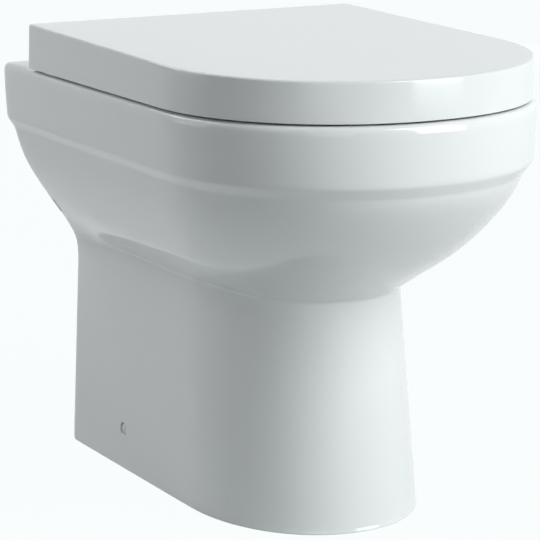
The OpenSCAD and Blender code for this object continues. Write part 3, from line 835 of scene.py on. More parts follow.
@dataclass(frozen=True)
class Coating:
    """A glossy or matt finish without a grain direction: glaze, plastic, rubber or nylon.

    Args:
        name: name of the material.
        colour: its linear colour.
        rough: its lowest roughness.
        drift: how much its lightness drifts, as a share.
        drift_scale: how many drifts there are to a metre.
        wave: depth of its broad unevenness in metres.
        wave_scale: how many waves there are to a metre.
        grain: depth of its fine grain in metres.
        grain_scale: how many grains there are to a metre.
        specular: its specular level.
        coat: weight of a clear skin over it.
        subsurface: weight of the light that goes into it.
    """

    name: str
    colour: tuple[float, float, float]
    rough: float
    drift: float = 0.006
    drift_scale: float = 9.0
    wave: float = 0.0002
    wave_scale: float = 12.0
    grain: float = 0.000002
    grain_scale: float = 900.0
    specular: float = 0.5
    coat: float = 0.0
    subsurface: float = 0.0

    def material(self) -> bpy.types.Material:
        """Make the material.

        Returns:
            The new material.
        """
        material = bpy.data.materials.new(self.name)
        material.use_nodes = True
        graph = Graph(material.node_tree)
        mottle = graph.add("Group", {"node_tree": effect_group(SharedEffect.MOTTLE)},
                           Color=(*self.colour, 1.0), Drift=self.drift,
                           Scale=self.drift_scale, Rough=self.rough,
                           Rough_Drift=self.rough * 0.3)
        surface = graph.add("Group", {"node_tree": effect_group(SharedEffect.SURFACE)},
                            Wave_Scale=self.wave_scale, Wave_Depth=self.wave,
                            Grain_Scale=self.grain_scale, Grain_Depth=self.grain)
        shader = graph.add("BsdfPrincipled", Base_Color=mottle.outputs["Color"],
                           Roughness=mottle.outputs["Roughness"],
                           Normal=surface.outputs["Normal"],
                           Specular_IOR_Level=self.specular, Coat_Weight=self.coat,
                           Coat_Roughness=0.03, Subsurface_Weight=self.subsurface,
                           Subsurface_Radius=(0.004, 0.004, 0.004))
        graph.add("OutputMaterial", Surface=shader.outputs[0])
        return material


@dataclass(frozen=True)
class Metal:
    """A metal with a grain direction.

    Args:
        name: name of the material.
        colour: its linear colour.
        rough: its lowest roughness.
        stretch: strokes to a metre along X, Y and Z; the least is the grain's direction.
        depth: depth of the strokes in metres.
    """

    name: str
    colour: tuple[float, float, float]
    rough: float
    stretch: tuple[float, float, float]
    depth: float

    def material(self) -> bpy.types.Material:
        """Make the material.

        Returns:
            The new material.
        """
        material = bpy.data.materials.new(self.name)
        material.use_nodes = True
        graph = Graph(material.node_tree)
        strokes = graph.add("Group", {"node_tree": effect_group(SharedEffect.BRUSHED)},
                            Stretch=self.stretch, Depth=self.depth, Rough=self.rough)
        dulled = graph.add("Group", {"node_tree": effect_group(SharedEffect.SETTLED)},
                           Scale=60.0, Amount=0.3)
        tint = graph.add("MixRGB", {"blend_type": "MIX"}, Fac=dulled.outputs["Mask"],
                         Color1=(*self.colour, 1.0),
                         Color2=(*[0.8 * c for c in self.colour], 1.0))
        shader = graph.add("BsdfPrincipled", Base_Color=tint.outputs[0], Metallic=1.0,
                           Roughness=strokes.outputs["Roughness"],
                           Normal=strokes.outputs["Normal"])
        graph.add("OutputMaterial", Surface=shader.outputs[0])
        return material


class Slot(Enum):
    """The record's material slots."""

    CHINA = "china"
    SEAT = "seat_plastic"
    HINGE = "hinge_metal"
    CHROME = "button_chrome"
    STEEL = "plain_steel"
    DAMPER = "damper_plastic"
    RUBBER = "black_rubber"
    BUFFER = "buffer_rubber"
    NYLON = "nylon"
    CAP = "cap_plastic"


FINISHES: dict[Slot, Coating | Metal] = {
    Slot.CHINA: Coating("GlazedChina", (0.87, 0.88, 0.88), 0.03, wave=0.0003, wave_scale=9.0),
    Slot.SEAT: Coating("UreaPlastic", (0.86, 0.87, 0.872), 0.09, wave=0.00008,
                       grain=0.000004),
    Slot.HINGE: Metal("BrushedSteel", (0.62, 0.63, 0.64), 0.2, (60, 2500, 2500), 0.000012),
    Slot.CHROME: Metal("Chrome", (0.75, 0.76, 0.78), 0.04, (300, 300, 300), 0.000001),
    Slot.STEEL: Metal("TurnedSteel", (0.55, 0.56, 0.57), 0.22, (300, 300, 3000), 0.000008),
    Slot.DAMPER: Coating("GreyPlastic", (0.13, 0.135, 0.14), 0.38, grain=0.00003),
    Slot.RUBBER: Coating("BlackRubber", (0.022, 0.022, 0.023), 0.6, drift=0.05,
                         grain=0.00002, specular=0.35),
    Slot.BUFFER: Coating("BufferRubber", (0.5, 0.51, 0.51), 0.5, drift=0.02, grain=0.00001,
                         subsurface=0.1),
    Slot.NYLON: Coating("Nylon", (0.72, 0.71, 0.66), 0.42, drift=0.02, grain=0.00002,
                        subsurface=0.15),
    Slot.CAP: Coating("CapPlastic", (0.8, 0.81, 0.81), 0.14, grain=0.000004),
}
BISCUIT = Coating("BareBiscuit", (0.80, 0.785, 0.75), 0.75, drift=0.03, drift_scale=30.0,
                  grain=0.00006, grain_scale=700.0, specular=0.3)


# ---- Pan --------------------------------------------------------------------------------


def ease(t: float) -> float:
    """Smooth step from 0 to 1."""
    t = min(1.0, max(0.0, t))
    return t * t * (3 - 2 * t)


def mix(a: float, b: float, t: float) -> float:
    """Value between a and b."""
    return a + (b - a) * t


@dataclass
class Pan:
    """The china casting: skirted shell, bowl, trapway, spigot and flush horn."""

    wall: float = 11.0
    roof: float = 388.0
    rim: float = 400.0
    axis_low: tuple[float, float] = (217.0, 86.0)
    axis_top: tuple[float, float] = (115.0, 190.0)
    elbow: float = 70.0
    wall_corner: float = 1.6

    # height, half width and reach
    PEDESTAL = (
        (3.2, 111.6, 402.1), (14, 111.15, 401.0), (60, 109.2, 396.0), (110, 107.1, 390.6),
        (155, 105.2, 385.7), (185, 103.9, 382.4),
    )
    # These rows and BOWL_SIDE follow the photograph's outline, measured through its camera.
    # The rows next to the crease: height, half width, reach and nose along the side, then
    # how much higher and wider the row is at the wall, and how much higher at the front
    CREASE = (
        (204, 103.05, 380.4, 143, -14, 0.5, -2), (212, 102.75, 379.7, 143, -13, 1.0, -4),
        (217.4, 102.5, 379.2, 143, -12.5, 1.5, -5.2),
        (220.2, 102.5, 379.1, 143, -11, 2.0, -5.6),
        (222.0, 103.8, 381.2, 143.6, -8.8, 1.6, -5.6),
        (223.8, 105.9, 385.8, 145, -7.0, 0.6, -5.2),
        (226.6, 108.9, 393.5, 147, -4.8, -0.3, -3.8),
        (231.0, 113.4, 403.8, 149.5, -1.7, -0.5, -1.6),
        (238.0, 120.2, 416.8, 152.5, 0, -1.8, 0), (246.5, 127.6, 431.0, 155.5, 0, -3.1, 0),
        (256, 134.6, 445.0, 158.3, 0, -3.2, 0), (266, 140.8, 457.8, 161.4, 0, -2.4, 0),
        (280, 148.8, 473.6, 165.0, 0, -0.8, 0),
    )
    # height, half width, reach and nose
    BOWL_SIDE = (
        (293, 155.9, 486.2, 168.9), (306, 162.6, 496.7, 172.5), (319, 167.1, 506.0, 175.0),
        (329, 170.0, 511.0, 176.5), (333.4, 171.4, 512.4, 177), (335.6, 172.4, 513.2, 177),
        (337.2, 173.4, 514.2, 177), (340, 175.4, 515.8, 177), (343.4, 177.8, 517.8, 177),
        (345.2, 178.8, 518.8, 177), (347.2, 179.3, 519.3, 177.2), (350, 179.6, 519.6, 177.4),
        (357, 180.0, 519.8, 177.6), (370, 180.9, 520, 177.8), (382, 181.3, 520, 178),
        (390, 181.5, 520, 178),
    )
    RIM = (
        (393.5, 181.4, 0), (396.4, 180.8, 0), (398.6, 179.2, 0), (399.8, 176.6, 0.3),
        (400, 173.4, 1.2), (400, 168, 5), (400, 160, 12),
    )
    # height and how far the bowl's wall stands in front of its plain line
    BOWL = (
        (400, 11.0), (400, 7.5), (399.7, 5.0), (398.6, 2.6), (396.8, 0.9), (394.6, 0.1),
        (389, 0.0), (383, 0.0), (379.6, -0.6), (377.4, -2.8), (375.8, -6.4), (373.6, -8.6),
        (369, -9.2), (360, -8.4), (348, -5.2), (336, -2.2), (322, -0.4), (300, 0.0),
        (270, 0.0), (240, 0.0), (210, 0.0), (180, 0.0), (150, 0.0), (120, 0.0), (92, 0.0),
        (72, -0.5), (60, -2.2), (54, -5.5), (52, -11.0), (52, -22.0),
    )
    OUTSIDE = (
        (388, 18.0), (387.4, 12.0), (384, 11.0), (350, 11.0), (310, 11.0), (270, 11.0),
        (230, 11.0), (190, 11.0), (150, 11.0), (110, 11.0), (76, 10.8), (56, 8.5),
        (45, 3.5), (41, -4.0), (41, -16.0),
    )

    def egg(self, z: float, grow: float) -> Ring:
        """The bowl's section at a height, grown outwards by some millimetres.

        Args:
            z: the height.
            grow: how far it stands outside the bowl's plain line.

        Returns:
            The section.
        """
        t = ease((z - 52) / 336)
        half = mix(42, 125, t) + grow
        rear = mix(176, 151, t) - grow
        front = mix(262, 471, t) + grow
        nose = mix(50, 170, t) + grow
        split = front - nose
        bend = rear + 0.7 * (split - rear)
        return Ring(z, half, (rear, bend, split, front))

    def shell(self) -> bpy.types.Object:
        """Draw the skirt: down its inside, round the foot, up its outside, onto the deck.

        Returns:
            The skirt's skin, open at the rim and at the roof.
        """
        wall = self.wall
        inner = [d_ring(388, 154.5, 17, 493, 163, 9), d_ring(387.3, 160.0, 11.5, 498.5, 168.5, 12),
                 d_ring(384, 160.5, 11, 499, 169, 12)]
        for z, half, front, nose, *_ in reversed(self.CREASE + self.BOWL_SIDE):
            if z in (333.4, 306, 280, 256):
                inner.append(d_ring(z, min(half, 171.5) - wall, 11, min(front, 510) - wall,
                                    nose - wall, 12))
        inner += [d_ring(z, mix(100.75, 92.25, z / 200), 11, mix(393, 370.6, z / 212), 132, 12)
                  for z in (216, 200, 120, 40, 5, 1)]
        foot = [d_ring(0.15, 101.4, 10.4, 393.6, 132, 11), d_ring(0, 103, 9, 395, 134, 9),
                d_ring(0, 108, 3.5, 400.3, 139.5, 5), d_ring(0.3, 110.2, 1.2, 402.4, 141.6, 3),
                d_ring(1.2, 111.4, 0.2, 403.5, 142.9, 3)]
        corner = self.wall_corner
        outer = [d_ring(z, half, 0, front, 143, corner) for z, half, front in self.PEDESTAL]
        outer += [d_ring(z, half, 0, front, nose, corner, 0, self.wander(*drift))
                  for z, half, front, nose, *drift in self.CREASE]
        outer += [d_ring(z, half, 0, front, nose, corner)
                  for z, half, front, nose in self.BOWL_SIDE]
        for z, half, rear in self.RIM:
            inset = 181.5 - half
            outer.append(d_ring(z, half, rear, 520 - inset, 178 - inset, corner))
        rows = inner + foot + outer
        return Loft("skirt", rows[0], True, 32).through(rows[1:]).end()

    @staticmethod
    def wander(wall_rise: float, wall_widening: float,
               front_rise: float) -> Callable[[float], tuple[float, float]]:
        """How a row next to the crease runs: rounded at the wall, lower at the front.

        Args:
            wall_rise: how much higher it is at the wall than along the side.
            wall_widening: how much wider it is at the wall.
            front_rise: how much higher it is at the front.

        Returns:
            A function from the distance off the wall to the rise and the widening.
        """
        def at(far: float) -> tuple[float, float]:
            near_wall = 1 - ease(far / 100)
            near_front = ease((far - 285) / 75)
            return wall_rise * near_wall + front_rise * near_front, wall_widening * near_wall
        return at

    def bowl(self, rows: Sequence[tuple[float, float]], name: str) -> bpy.types.Object:
        """Draw one side of the bowl's wall from the top down, with a closed bottom."""
        rings = [self.egg(z, grow) for z, grow in rows]
        return Loft(name, rings[0], False, 22).through(rings[1:]).close().end()

    def passage(self, name: str, radius: float, end: float,
                spigot: Sequence[tuple[float, float]]) -> bpy.types.Object:
        """Draw the waterway's solid: up the rise, round the elbow and out to the spigot.

        Args:
            name: name of the object.
            radius: radius of the waterway.
            end: where the waterway ends, from the wall.
            spigot: the rings of the spigot, each a distance from the wall and a radius.

        Returns:
            The closed solid.
        """
        (y0, z0), (y1, z1) = self.axis_low, self.axis_top
        rise = math.atan2(y0 - y1, z1 - z0)
        bend = math.pi / 2 - rise
        tangent = self.elbow * math.tan(bend / 2)
        length = math.hypot(y0 - y1, z1 - z0) - tangent
        along = Vector((0, math.sin(rise), math.cos(rise)))
        obj = Bench.circle(name, radius, 0, 40)
        bpy.ops.mesh.edge_face_add()
        Bench.tilt(-rise, "X", (0, 0, 0))
        bpy.ops.transform.translate(value=(0, -y0, z0))
        for part in (0.04, 0.46, 0.46, 0.04):
            Bench.push(along * length * part)
        hub = Vector((0, -y0, z0)) + along * length
        hub += Vector((0, math.cos(rise), -math.sin(rise))) * self.elbow
        steps = 7
        for _ in range(steps):
            Bench.push()
            Bench.tilt(-bend / steps, "X", hub)
        Bench.push((0, y1 - tangent - end - 1, 0))
        Bench.push((0, 1, 0))
        here, wide, high = end, radius, z1
        for far, r in spigot:
            Bench.push((0, here - far, SPIGOT_HEIGHT - high))
            Bench.swell((r / wide, 1, r / wide), (0, -far, SPIGOT_HEIGHT))
            here, wide, high = far, r, SPIGOT_HEIGHT
        Bench.done()
        Bench.outwards(obj)
        return obj

    def plumbing(self, pan: bpy.types.Object) -> None:
        """Add the trapway, the spigot and the flush horn, and open their bores.

        Args:
            pan: the casting.
        """
        trap = self.passage("trap", 39, 84, ((80, 42), (76.5, 48), (73, 50.6), (70, 51),
                                             (14.5, 51), (13, 50.5), (12, 49)))
        Bench.cut(pan, trap, "UNION")
        horn = turned("horn", ((36.5, -158), (36.5, -33), (35.8, -31), (34, -30)))
        Bench.place(horn, (-90, 0, 0), (0, 0, INLET_HEIGHT))
        Bench.cut(pan, horn, "UNION")
        bores = [self.passage("waterway", 30, 68, ((66, 33), (65, 41), (63, 43), (15, 43),
                                                   (12.5, 44.5), (10, 48)))]
        inlet = turned("inlet", ((20, -172), (20, -92), (21, -90), (27.5, -89), (27.5, -33),
                                 (28.5, -31), (30.5, -28)))
        Bench.place(inlet, (-90, 0, 0), (0, 0, INLET_HEIGHT))
        bores.append(inlet)
        for side in SIDES:
            bores.append(self.side_recess(side))
            hole = turned("fixing_hole", ((7.5, 380), (7.5, 398.6), (9, 400.2), (10, 404)))
            Bench.place(hole, (0, 0, 0), (side * HINGE_SPREAD, -HINGE_BEHIND, 0))
            bores.append(hole)
        Bench.cut(pan, Bench.join("bores", bores))

    def side_recess(self, side: int) -> bpy.types.Object:
        """Draw the cutter for the cap's recess and the screw hole through the skirt.

        Args:
            side: -1 for the left side, 1 for the right.

        Returns:
            The cutter.
        """
        cutter = turned("recess", ((4, 90), (4, 103.8), (6.1, 104.1), (6.45, 104.6),
                                   (6.45, 109.4), (6.8, 110.1), (9.2, 112.5)), 48)
        Bench.place(cutter, (0, side * 90, 0), (0, *FOOT_SCREW))
        return cutter

    def back_opening(self) -> bpy.types.Object:
        """Draw the cutter for the open back, with rounded corners.

        Returns:
            The cutter.
        """
        half = ((96.75, -5), (88.25, 200), (142.5, 333), (142.5, 384))
        cutter = outline("back", [(x, 6, z) for x, z in half]
                         + [(-x, 6, z) for x, z in reversed(half)])
        Bench.edit(cutter)
        bpy.ops.mesh.select_all(action="SELECT")
        Bench.push((0, -24, 0))
        Bench.pick_edges(lambda e: abs(e.verts[0].co.y - e.verts[1].co.y) > 1
                         and e.verts[0].co.z > 0)
        bpy.ops.mesh.bevel(offset=14, segments=5)
        Bench.done()
        Bench.outwards(cutter)
        return cutter

    def build(self) -> bpy.types.Object:
        """Build, open and dress the whole casting.

        Returns:
            The finished casting.
        """
        pan = Bench.join("pan_casting", [self.shell(), self.bowl(self.BOWL, "bowl_inside"),
                                         self.bowl(self.OUTSIDE, "bowl_outside")])
        bridge(pan, self.rim - 1, self.rim + 1)
        bridge(pan, self.roof - 0.1, self.roof + 0.1)
        Bench.outwards(pan)
        Bench.smooth(pan)
        Bench.cut(pan, self.back_opening())
        self.plumbing(pan)
        pan = Bench.finish(pan, "pan", Slot.CHINA.value,
                           (FINISHES[Slot.CHINA].material(), BISCUIT.material()),
                           ("pan", "bowl", "trapway", "flush_horn"))
        self.bare_faces(pan)
        return pan

    def bare_faces(self, pan: bpy.types.Object) -> None:
        """Give the hidden inner faces and the foot's underside the unglazed finish.

        Args:
            pan: the casting, in metres.
        """
        skin = sorted({row[0]: row for row in (
            *((z, half, front, 143) for z, half, front in self.PEDESTAL),
            *(row[:4] for row in self.CREASE), *self.BOWL_SIDE)}.values())
        for face in pan.data.polygons:
            x, y, z = (c / MM for c in face.center)
            low = max((r for r in skin if r[0] <= z), default=skin[0])
            high = min((r for r in skin if r[0] > z), default=skin[-1])
            t = (z - low[0]) / (high[0] - low[0]) if high[0] > low[0] else 0.0
            half, front, nose = (mix(a, b, min(1, max(0, t))) - 3
                                 for a, b in zip(low[1:], high[1:]))
            ahead = max(0.0, -y - (front - nose)) / nose
            within = math.hypot(x / half, ahead) < 1 and y < -2 and z < 389
            near_cap = math.dist((y, z), FOOT_SCREW) < 10 and abs(x) > 99
            under = face.normal.z < -0.9 and z < 0.6
            face.material_index = int(
                under or (within and not near_cap and not self.in_bowl(x, -y, z)))

    def in_bowl(self, x: float, far: float, z: float) -> bool:
        """Whether a place lies inside the bowl's middle surface.

        Args:
            x: distance from the middle.
            far: distance from the wall.
            z: height.

        Returns:
            True where it does.
        """
        if z < 48:
            return False
        ring = self.egg(max(z, 52), 5.5)
        rear, bend, split, front = ring.stops
        depth = (far - split) / (front - split) if far > split else (
            (bend - far) / (bend - rear) if far < bend else 0)
        return math.hypot(x / ring.half, depth) < 1


# ---- Lid and seat -----------------------------------------------------------------------


@dataclass
class Lid:
    """The wrap-over lid: a thin moulding with a crisp top edge and a falling top."""

    bottom: float = 401.6
    top: float = 444.7
    rear: float = 59.5
    front: float = 515.0
    slope: float = 7 / 455.5
    thick: float = 5.0
    edge: float = 2.0

    def ring(self, z: float, inset: float, fall: float = 0.0) -> Ring:
        """The lid's outline at a height, moved inwards by some millimetres."""
        return d_ring(z, 181.5 - inset, self.rear + inset, self.front - inset, 177 - inset, 4,
                      fall)

    def moulding(self) -> bpy.types.Object:
        """Draw the hollow moulding from its ceiling, down inside and up outside.

        Returns:
            The closed mesh, in millimetres.
        """
        ceiling, low = self.top - self.thick, self.bottom
        rows = [self.ring(ceiling, 14, self.slope), self.ring(ceiling, 8, self.slope),
                self.ring(ceiling - 0.7, 6, self.slope), self.ring(ceiling - 2.5, 5.5, self.slope),
                self.ring(412, 4.6), self.ring(low + 0.8, 4.5), self.ring(low + 0.1, 4.2),
                self.ring(low, 3.4), self.ring(low, 0.9), self.ring(low + 0.2, 0.3),
                self.ring(low + 0.7, 0.05), self.ring(low + 6, 0.1),
                self.ring(self.top - 9, 0.8, self.slope)]
        for degrees in (0, 22.5, 45, 67.5, 90):
            a = math.radians(degrees)
            rows.append(self.ring(self.top - self.edge * (1 - math.sin(a)),
                                  1 + self.edge * (1 - math.cos(a)), self.slope))
        rows += [self.ring(self.top, 6, self.slope), self.ring(self.top, 14, self.slope)]
        loft = Loft("lid_moulding", rows[0], True, 32).close().through(rows[1:]).close()
        lid = loft.end()
        Bench.outwards(lid)
        Bench.smooth(lid)
        return lid

    def rear_cuts(self) -> bpy.types.Object:
        """Draw what is cut away at the rear: the lower corner, the rise and the notches.

        Returns:
            The cutter.
        """
        low = self.bottom - 2
        points = [(58, low), (58, self.bottom + 6), (59.5, self.bottom + 6)]
        for degrees in range(15, 91, 15):
            a = math.radians(degrees)
            points.append((59.5 + 6 * (1 - math.cos(a)), self.bottom + 6 * (1 - math.sin(a))))
        corner = side_plate("rear_corner", points + [(65.5, low)], -190, 190)
        rise = Bench.cube("rise", (-165, -67, low), (165, -57, self.bottom + 12))
        Bench.soften(rise, 3, 4)
        Bench.cut(corner, rise, "UNION")
        for side in SIDES:
            ends = sorted((side * 48, side * 105.75))
            notch = Bench.cube("notch", (ends[0], -67, low - 4), (ends[1], -57, self.top - 5.2))
            Bench.soften(notch, 3, 4)
            Bench.cut(corner, notch, "UNION")
        return Bench.name(corner, "rear_cuts")

    def pad(self, side: int) -> bpy.types.Object:
        """Draw the pad under the lid that a hinge arm is screwed to.

        Args:
            side: -1 for the left side, 1 for the right.

        Returns:
            The closed mesh, in millimetres.
        """
        ends = sorted((side * 89.25, side * 105.25))
        pad = Bench.cube("pad", (ends[0], -130, 438.2), (ends[1], -66, 441.5))
        Bench.soften(pad, 0.8)
        return pad

    def build(self) -> bpy.types.Object:
        """Build and dress the lid.

        Returns:
            The finished lid.
        """
        lid = self.moulding()
        Bench.cut(lid, self.rear_cuts())
        for side in SIDES:
            Bench.cut(lid, self.pad(side), "UNION")
        return Bench.finish(lid, "lid", Slot.SEAT.value, (FINISHES[Slot.SEAT].material(),),
                            ("lid",))


@dataclass
class Seat:
    """The seat: a ring with soft edges, slotted below for its two hinge arms."""

    bottom: float = 405.0
    top: float = 425.0

    def outer(self, z: float, inset: float) -> Ring:
        """The seat's outside at a height, moved inwards by some millimetres."""
        return d_ring(z, 174 - inset, 112 + inset, 507.5 - inset, 170.5 - inset, 16 - inset / 2)

    def hole(self, z: float, out: float) -> Ring:
        """The seat's hole at a height, widened by some millimetres."""
        return Ring(z, 112 + out, (180 - out, 279.4, 322, 452 + out))

    def ring(self) -> bpy.types.Object:
        """Draw the outside and the hole and join them over the top and underneath.

        Returns:
            The closed mesh, in millimetres.
        """
        rows = [self.outer(self.bottom, 14), self.outer(self.bottom, 4.5),
                self.outer(self.bottom + 0.4, 2), self.outer(self.bottom + 2, 0.3),
                self.outer(self.bottom + 5, 0), self.outer(self.top - 9, 0)]
        for degrees in (0, 22.5, 45, 67.5, 90):
            a = math.radians(degrees)
            rows.append(self.outer(self.top - 6 * (1 - math.sin(a)), 6 * (1 - math.cos(a))))
        rows += [self.outer(self.top, 9), self.outer(self.top - 0.1, 16)]
        outside = Loft("seat_outside", rows[0], True, 28).through(rows[1:]).end()
        rows = [self.hole(self.top - 0.4, 20), self.hole(self.top - 0.9, 12)]
        for degrees in (90, 67.5, 45, 22.5, 0):
            a = math.radians(degrees)
            rows.append(self.hole(self.top - 1.2 - 8 * (1 - math.sin(a)),
                                  8 * (1 - math.cos(a))))
        rows += [self.hole(self.bottom + 6, 0), self.hole(self.bottom + 2, 0.3),
                 self.hole(self.bottom + 0.4, 2), self.hole(self.bottom, 4.5),
                 self.hole(self.bottom, 12)]
        inside = Loft("seat_hole", rows[0], False, 24).through(rows[1:]).end()
        seat = Bench.join("seat_moulding", [outside, inside])
        bridge(seat, self.top - 2, self.top + 1)
        bridge(seat, self.bottom - 1, self.bottom + 0.1)
        Bench.outwards(seat)
        Bench.smooth(seat)
        return seat

    def build(self) -> bpy.types.Object:
        """Build and dress the seat.

        Returns:
            The finished seat.
        """
        seat = self.ring()
        for side in SIDES:
            ends = sorted((side * 50.8, side * 60.2))
            slot = Bench.cube("slot", (ends[0], -158.2, 400), (ends[1], -100, 408.2))
            Bench.cut(seat, slot)
        return Bench.finish(seat, "seat", Slot.SEAT.value, (FINISHES[Slot.SEAT].material(),),
                            ("seat_ring",))


# ---- Hinges -----------------------------------------------------------------------------


class Axis(Enum):
    """Which way a turned piece stands, as its turn about X, Y and Z in degrees."""

    UP = (0, 0, 0)
    LEFT_RIGHT = (0, 90, 0)


@dataclass(frozen=True)
class Turned:
    """A piece, or a set of equal pieces, made on the lathe.

    Args:
        name: name of the piece.
        node: the CAD node that it stands for.
        body: the CAD body that it rides on.
        slot: its material slot.
        profile: its rings, each a radius and a height along its axis.
        spots: where each of them stands.
        axis: which way it stands.
        looped: whether it has a bore right through.
        cross: a screw head's cross recess: its height and depth; none for 0.
        steps: how many sides it has.
        facing: for each spot, -1 where the piece is the mirror image across x = 0; all of
            them are as drawn where it is empty.
    """

    name: str
    node: str
    body: str
    slot: Slot
    profile: tuple[tuple[float, float], ...]
    spots: tuple[Point, ...]
    axis: Axis = Axis.UP
    looped: bool = False
    cross: tuple[float, float] = (0.0, 0.0)
    steps: int = 48
    facing: tuple[int, ...] = ()

    def one(self) -> bpy.types.Object:
        """Draw one of them on the Z axis.

        Returns:
            The closed mesh, in millimetres.
        """
        piece = turned(self.name, self.profile, self.steps, self.looped)
        height, depth = self.cross
        if depth:
            for wide, deep in ((2.1, 0.45), (0.45, 2.1)):
                bar = Bench.cube("cross", (-wide, -deep, height - depth),
                                 (wide, deep, height + depth))
                Bench.cut(piece, bar)
        return piece

    def build(self) -> bpy.types.Object:
        """Build and dress the whole set.

        Returns:
            The finished piece.
        """
        first = self.one()
        copies = []
        for spot, side in zip(self.spots, self.facing or (1,) * len(self.spots)):
            Bench.hold(first)
            bpy.ops.object.duplicate()
            copy = bpy.context.object
            Bench.place(copy, self.axis.value, (0, 0, 0))
            if side < 0:
                copy.scale = (-1, 1, 1)
                bpy.ops.object.transform_apply()
                Bench.outwards(copy)
            Bench.place(copy, (0, 0, 0), spot)
            copies.append(copy)
        bpy.data.objects.remove(first)
        piece = Bench.join(self.name, copies)
        return Bench.finish(piece, self.body, self.slot.value,
                            (FINISHES[self.slot].material(),), (self.node,))


def sided(side: int) -> str:
    """Left or right, for the names of nodes."""
    return "left" if side < 0 else "right"


@dataclass
class Hinges:
    """Both hinges: bases, bodies, dampers, buttons, spindles and arms."""

    spread: float = HINGE_SPREAD
    behind: float = HINGE_BEHIND
    axis_y: float = 72.0
    axis_z: float = 425.0

    def under_deck(self) -> tuple[Turned, ...]:
        """The fixings through the deck.

        Returns:
            The sets of gaskets, studs, bushes and washers.
        """
        spots = tuple((side * self.spread, -self.behind, 0) for side in SIDES)
        thread = tuple((3.9 if i % 2 else 3.35, 349.6 + 0.7 * i) for i in range(84))
        return (
            Turned("deck_gaskets", "stud_gaskets", "pan", Slot.RUBBER,
                   ((4, 400), (19.4, 400), (20, 400.4), (20, 401.1), (19.4, 401.5), (4, 401.5)),
                   spots, looped=True),
            Turned("deck_studs", "fixing_studs", "pan", Slot.STEEL,
                   ((3.0, 349), *thread, (3.4, 408.6), (3.2, 410)), spots, steps=28),
            Turned("deck_bushes", "rubber_bushes", "pan", Slot.RUBBER,
                   ((4, 381), (10.6, 381), (11.4, 381.4), (14, 384.4), (14, 387.2),
                    (13.4, 388), (7.4, 388), (7.4, 398.6), (7, 399), (4, 399)),
                   spots, looped=True),
            Turned("deck_washers", "stud_washers", "pan", Slot.STEEL,
                   ((4, 379), (12.7, 379), (13, 379.3), (13, 380.7), (12.7, 381), (4, 381)),
                   spots, looped=True),
        )

    def wing_nuts(self) -> bpy.types.Object:
        """Draw the two wing nuts and dress them.

        Returns:
            The finished piece.
        """
        hub = turned("hub", ((4, 367), (8.4, 367), (9, 367.8), (9, 378.2), (8.4, 379),
                             (4, 379)), 40, True)
        half = ((5, 374), (13, 358), (16, 358.4), (18, 361.5), (17, 367), (13, 378))
        wing = outline("wing", [(-1.75, x, z) for x, z in half]
                       + [(-1.75, -x, z) for x, z in reversed(half)])
        Bench.edit(wing)
        bpy.ops.mesh.select_all(action="SELECT")
        Bench.push((3.5, 0, 0))
        Bench.done()
        Bench.outwards(wing)
        Bench.soften(wing, 1.2, 3)
        bore = turned("bore", ((4, 350), (4, 385)), 40)
        Bench.cut(wing, bore)
        Bench.cut(hub, wing, "UNION")
        copies = []
        for side in SIDES:
            Bench.hold(hub)
            bpy.ops.object.duplicate()
            copy = bpy.context.object
            Bench.place(copy, (0, 0, 0), (side * self.spread, -self.behind, 0))
            copies.append(copy)
        bpy.data.objects.remove(hub)
        return Bench.finish(Bench.join("deck_wing_nuts", copies), "pan", Slot.NYLON.value,
                            (FINISHES[Slot.NYLON].material(),), ("wing_nuts",))

    def lathe_work(self, side: int) -> tuple[Turned, ...]:
        """The turned pieces of one hinge.

        Args:
            side: -1 for the left hinge, 1 for the right.

        Returns:
            The disc, button, dampers and spindles.
        """
        word = sided(side)
        x = side * self.spread
        up = ((x, -self.behind, 0),)
        across = ((0, -self.axis_y, self.axis_z),)
        facing = (side,)
        wear = ((4, 0), (6.9, 0), (7.4, 0.5), (7.4, 12.6), (6.9, 13.1), (4, 13.1))
        inner = tuple((r, h + self.spread - 13.3) for r, h in wear)
        outer = tuple((r, h + self.spread + 0.2) for r, h in wear)
        return (
            Turned(f"{word}_base_disc", f"{word}_hinge_base", "pan", Slot.HINGE,
                   ((3.95, 410.1), (4, 401.5), (19.5, 401.5), (20, 402), (20, 403.9),
                    (19.4, 404.5), (6.4, 404.5), (6, 404.9), (6, 411.4), (5.4, 412)), up),
            Turned(f"{word}_button", f"{word}_release_button", f"{word}_button", Slot.CHROME,
                   ((5.6, 418.3), (5.8, 418.5), (5.8, 419.6), (5.6, 419.8), (5, 419.8),
                    (5, 425.3), (4.85, 425.9), (4.4, 426.25), (3.2, 426.4), (1.2, 426.5)), up),
            Turned(f"{word}_damper_inner", f"{word}_seat_damper", "pan", Slot.DAMPER, inner,
                   across, Axis.LEFT_RIGHT, True, facing=facing),
            Turned(f"{word}_damper_outer", f"{word}_lid_damper", "pan", Slot.DAMPER, outer,
                   across, Axis.LEFT_RIGHT, True, facing=facing),
            Turned(f"{word}_seat_pin", f"{word}_seat_spindle", "seat", Slot.STEEL,
                   ((3.5, 51.5), (3.95, 51.95), (3.95, 76.1), (3.5, 76.5)), across,
                   Axis.LEFT_RIGHT, facing=facing),
            Turned(f"{word}_lid_pin", f"{word}_lid_spindle", "lid", Slot.STEEL,
                   ((3.5, 78.5), (3.95, 78.9), (3.95, 101.8), (3.5, 102.25)), across,
                   Axis.LEFT_RIGHT, facing=facing),
        )

    def barrel(self, name: str, radius: float, low: float, high: float) -> bpy.types.Object:
        """Draw a cylinder along the hinge axis.

        Args:
            name: name of the object.
            radius: its radius.
            low: where it begins along X.
            high: where it ends along X.

        Returns:
            The closed mesh, in millimetres.
        """
        piece = turned(name, ((radius, low), (radius, high)), 64)
        Bench.place(piece, (0, 90, 0), (0, -self.axis_y, self.axis_z))
        return piece

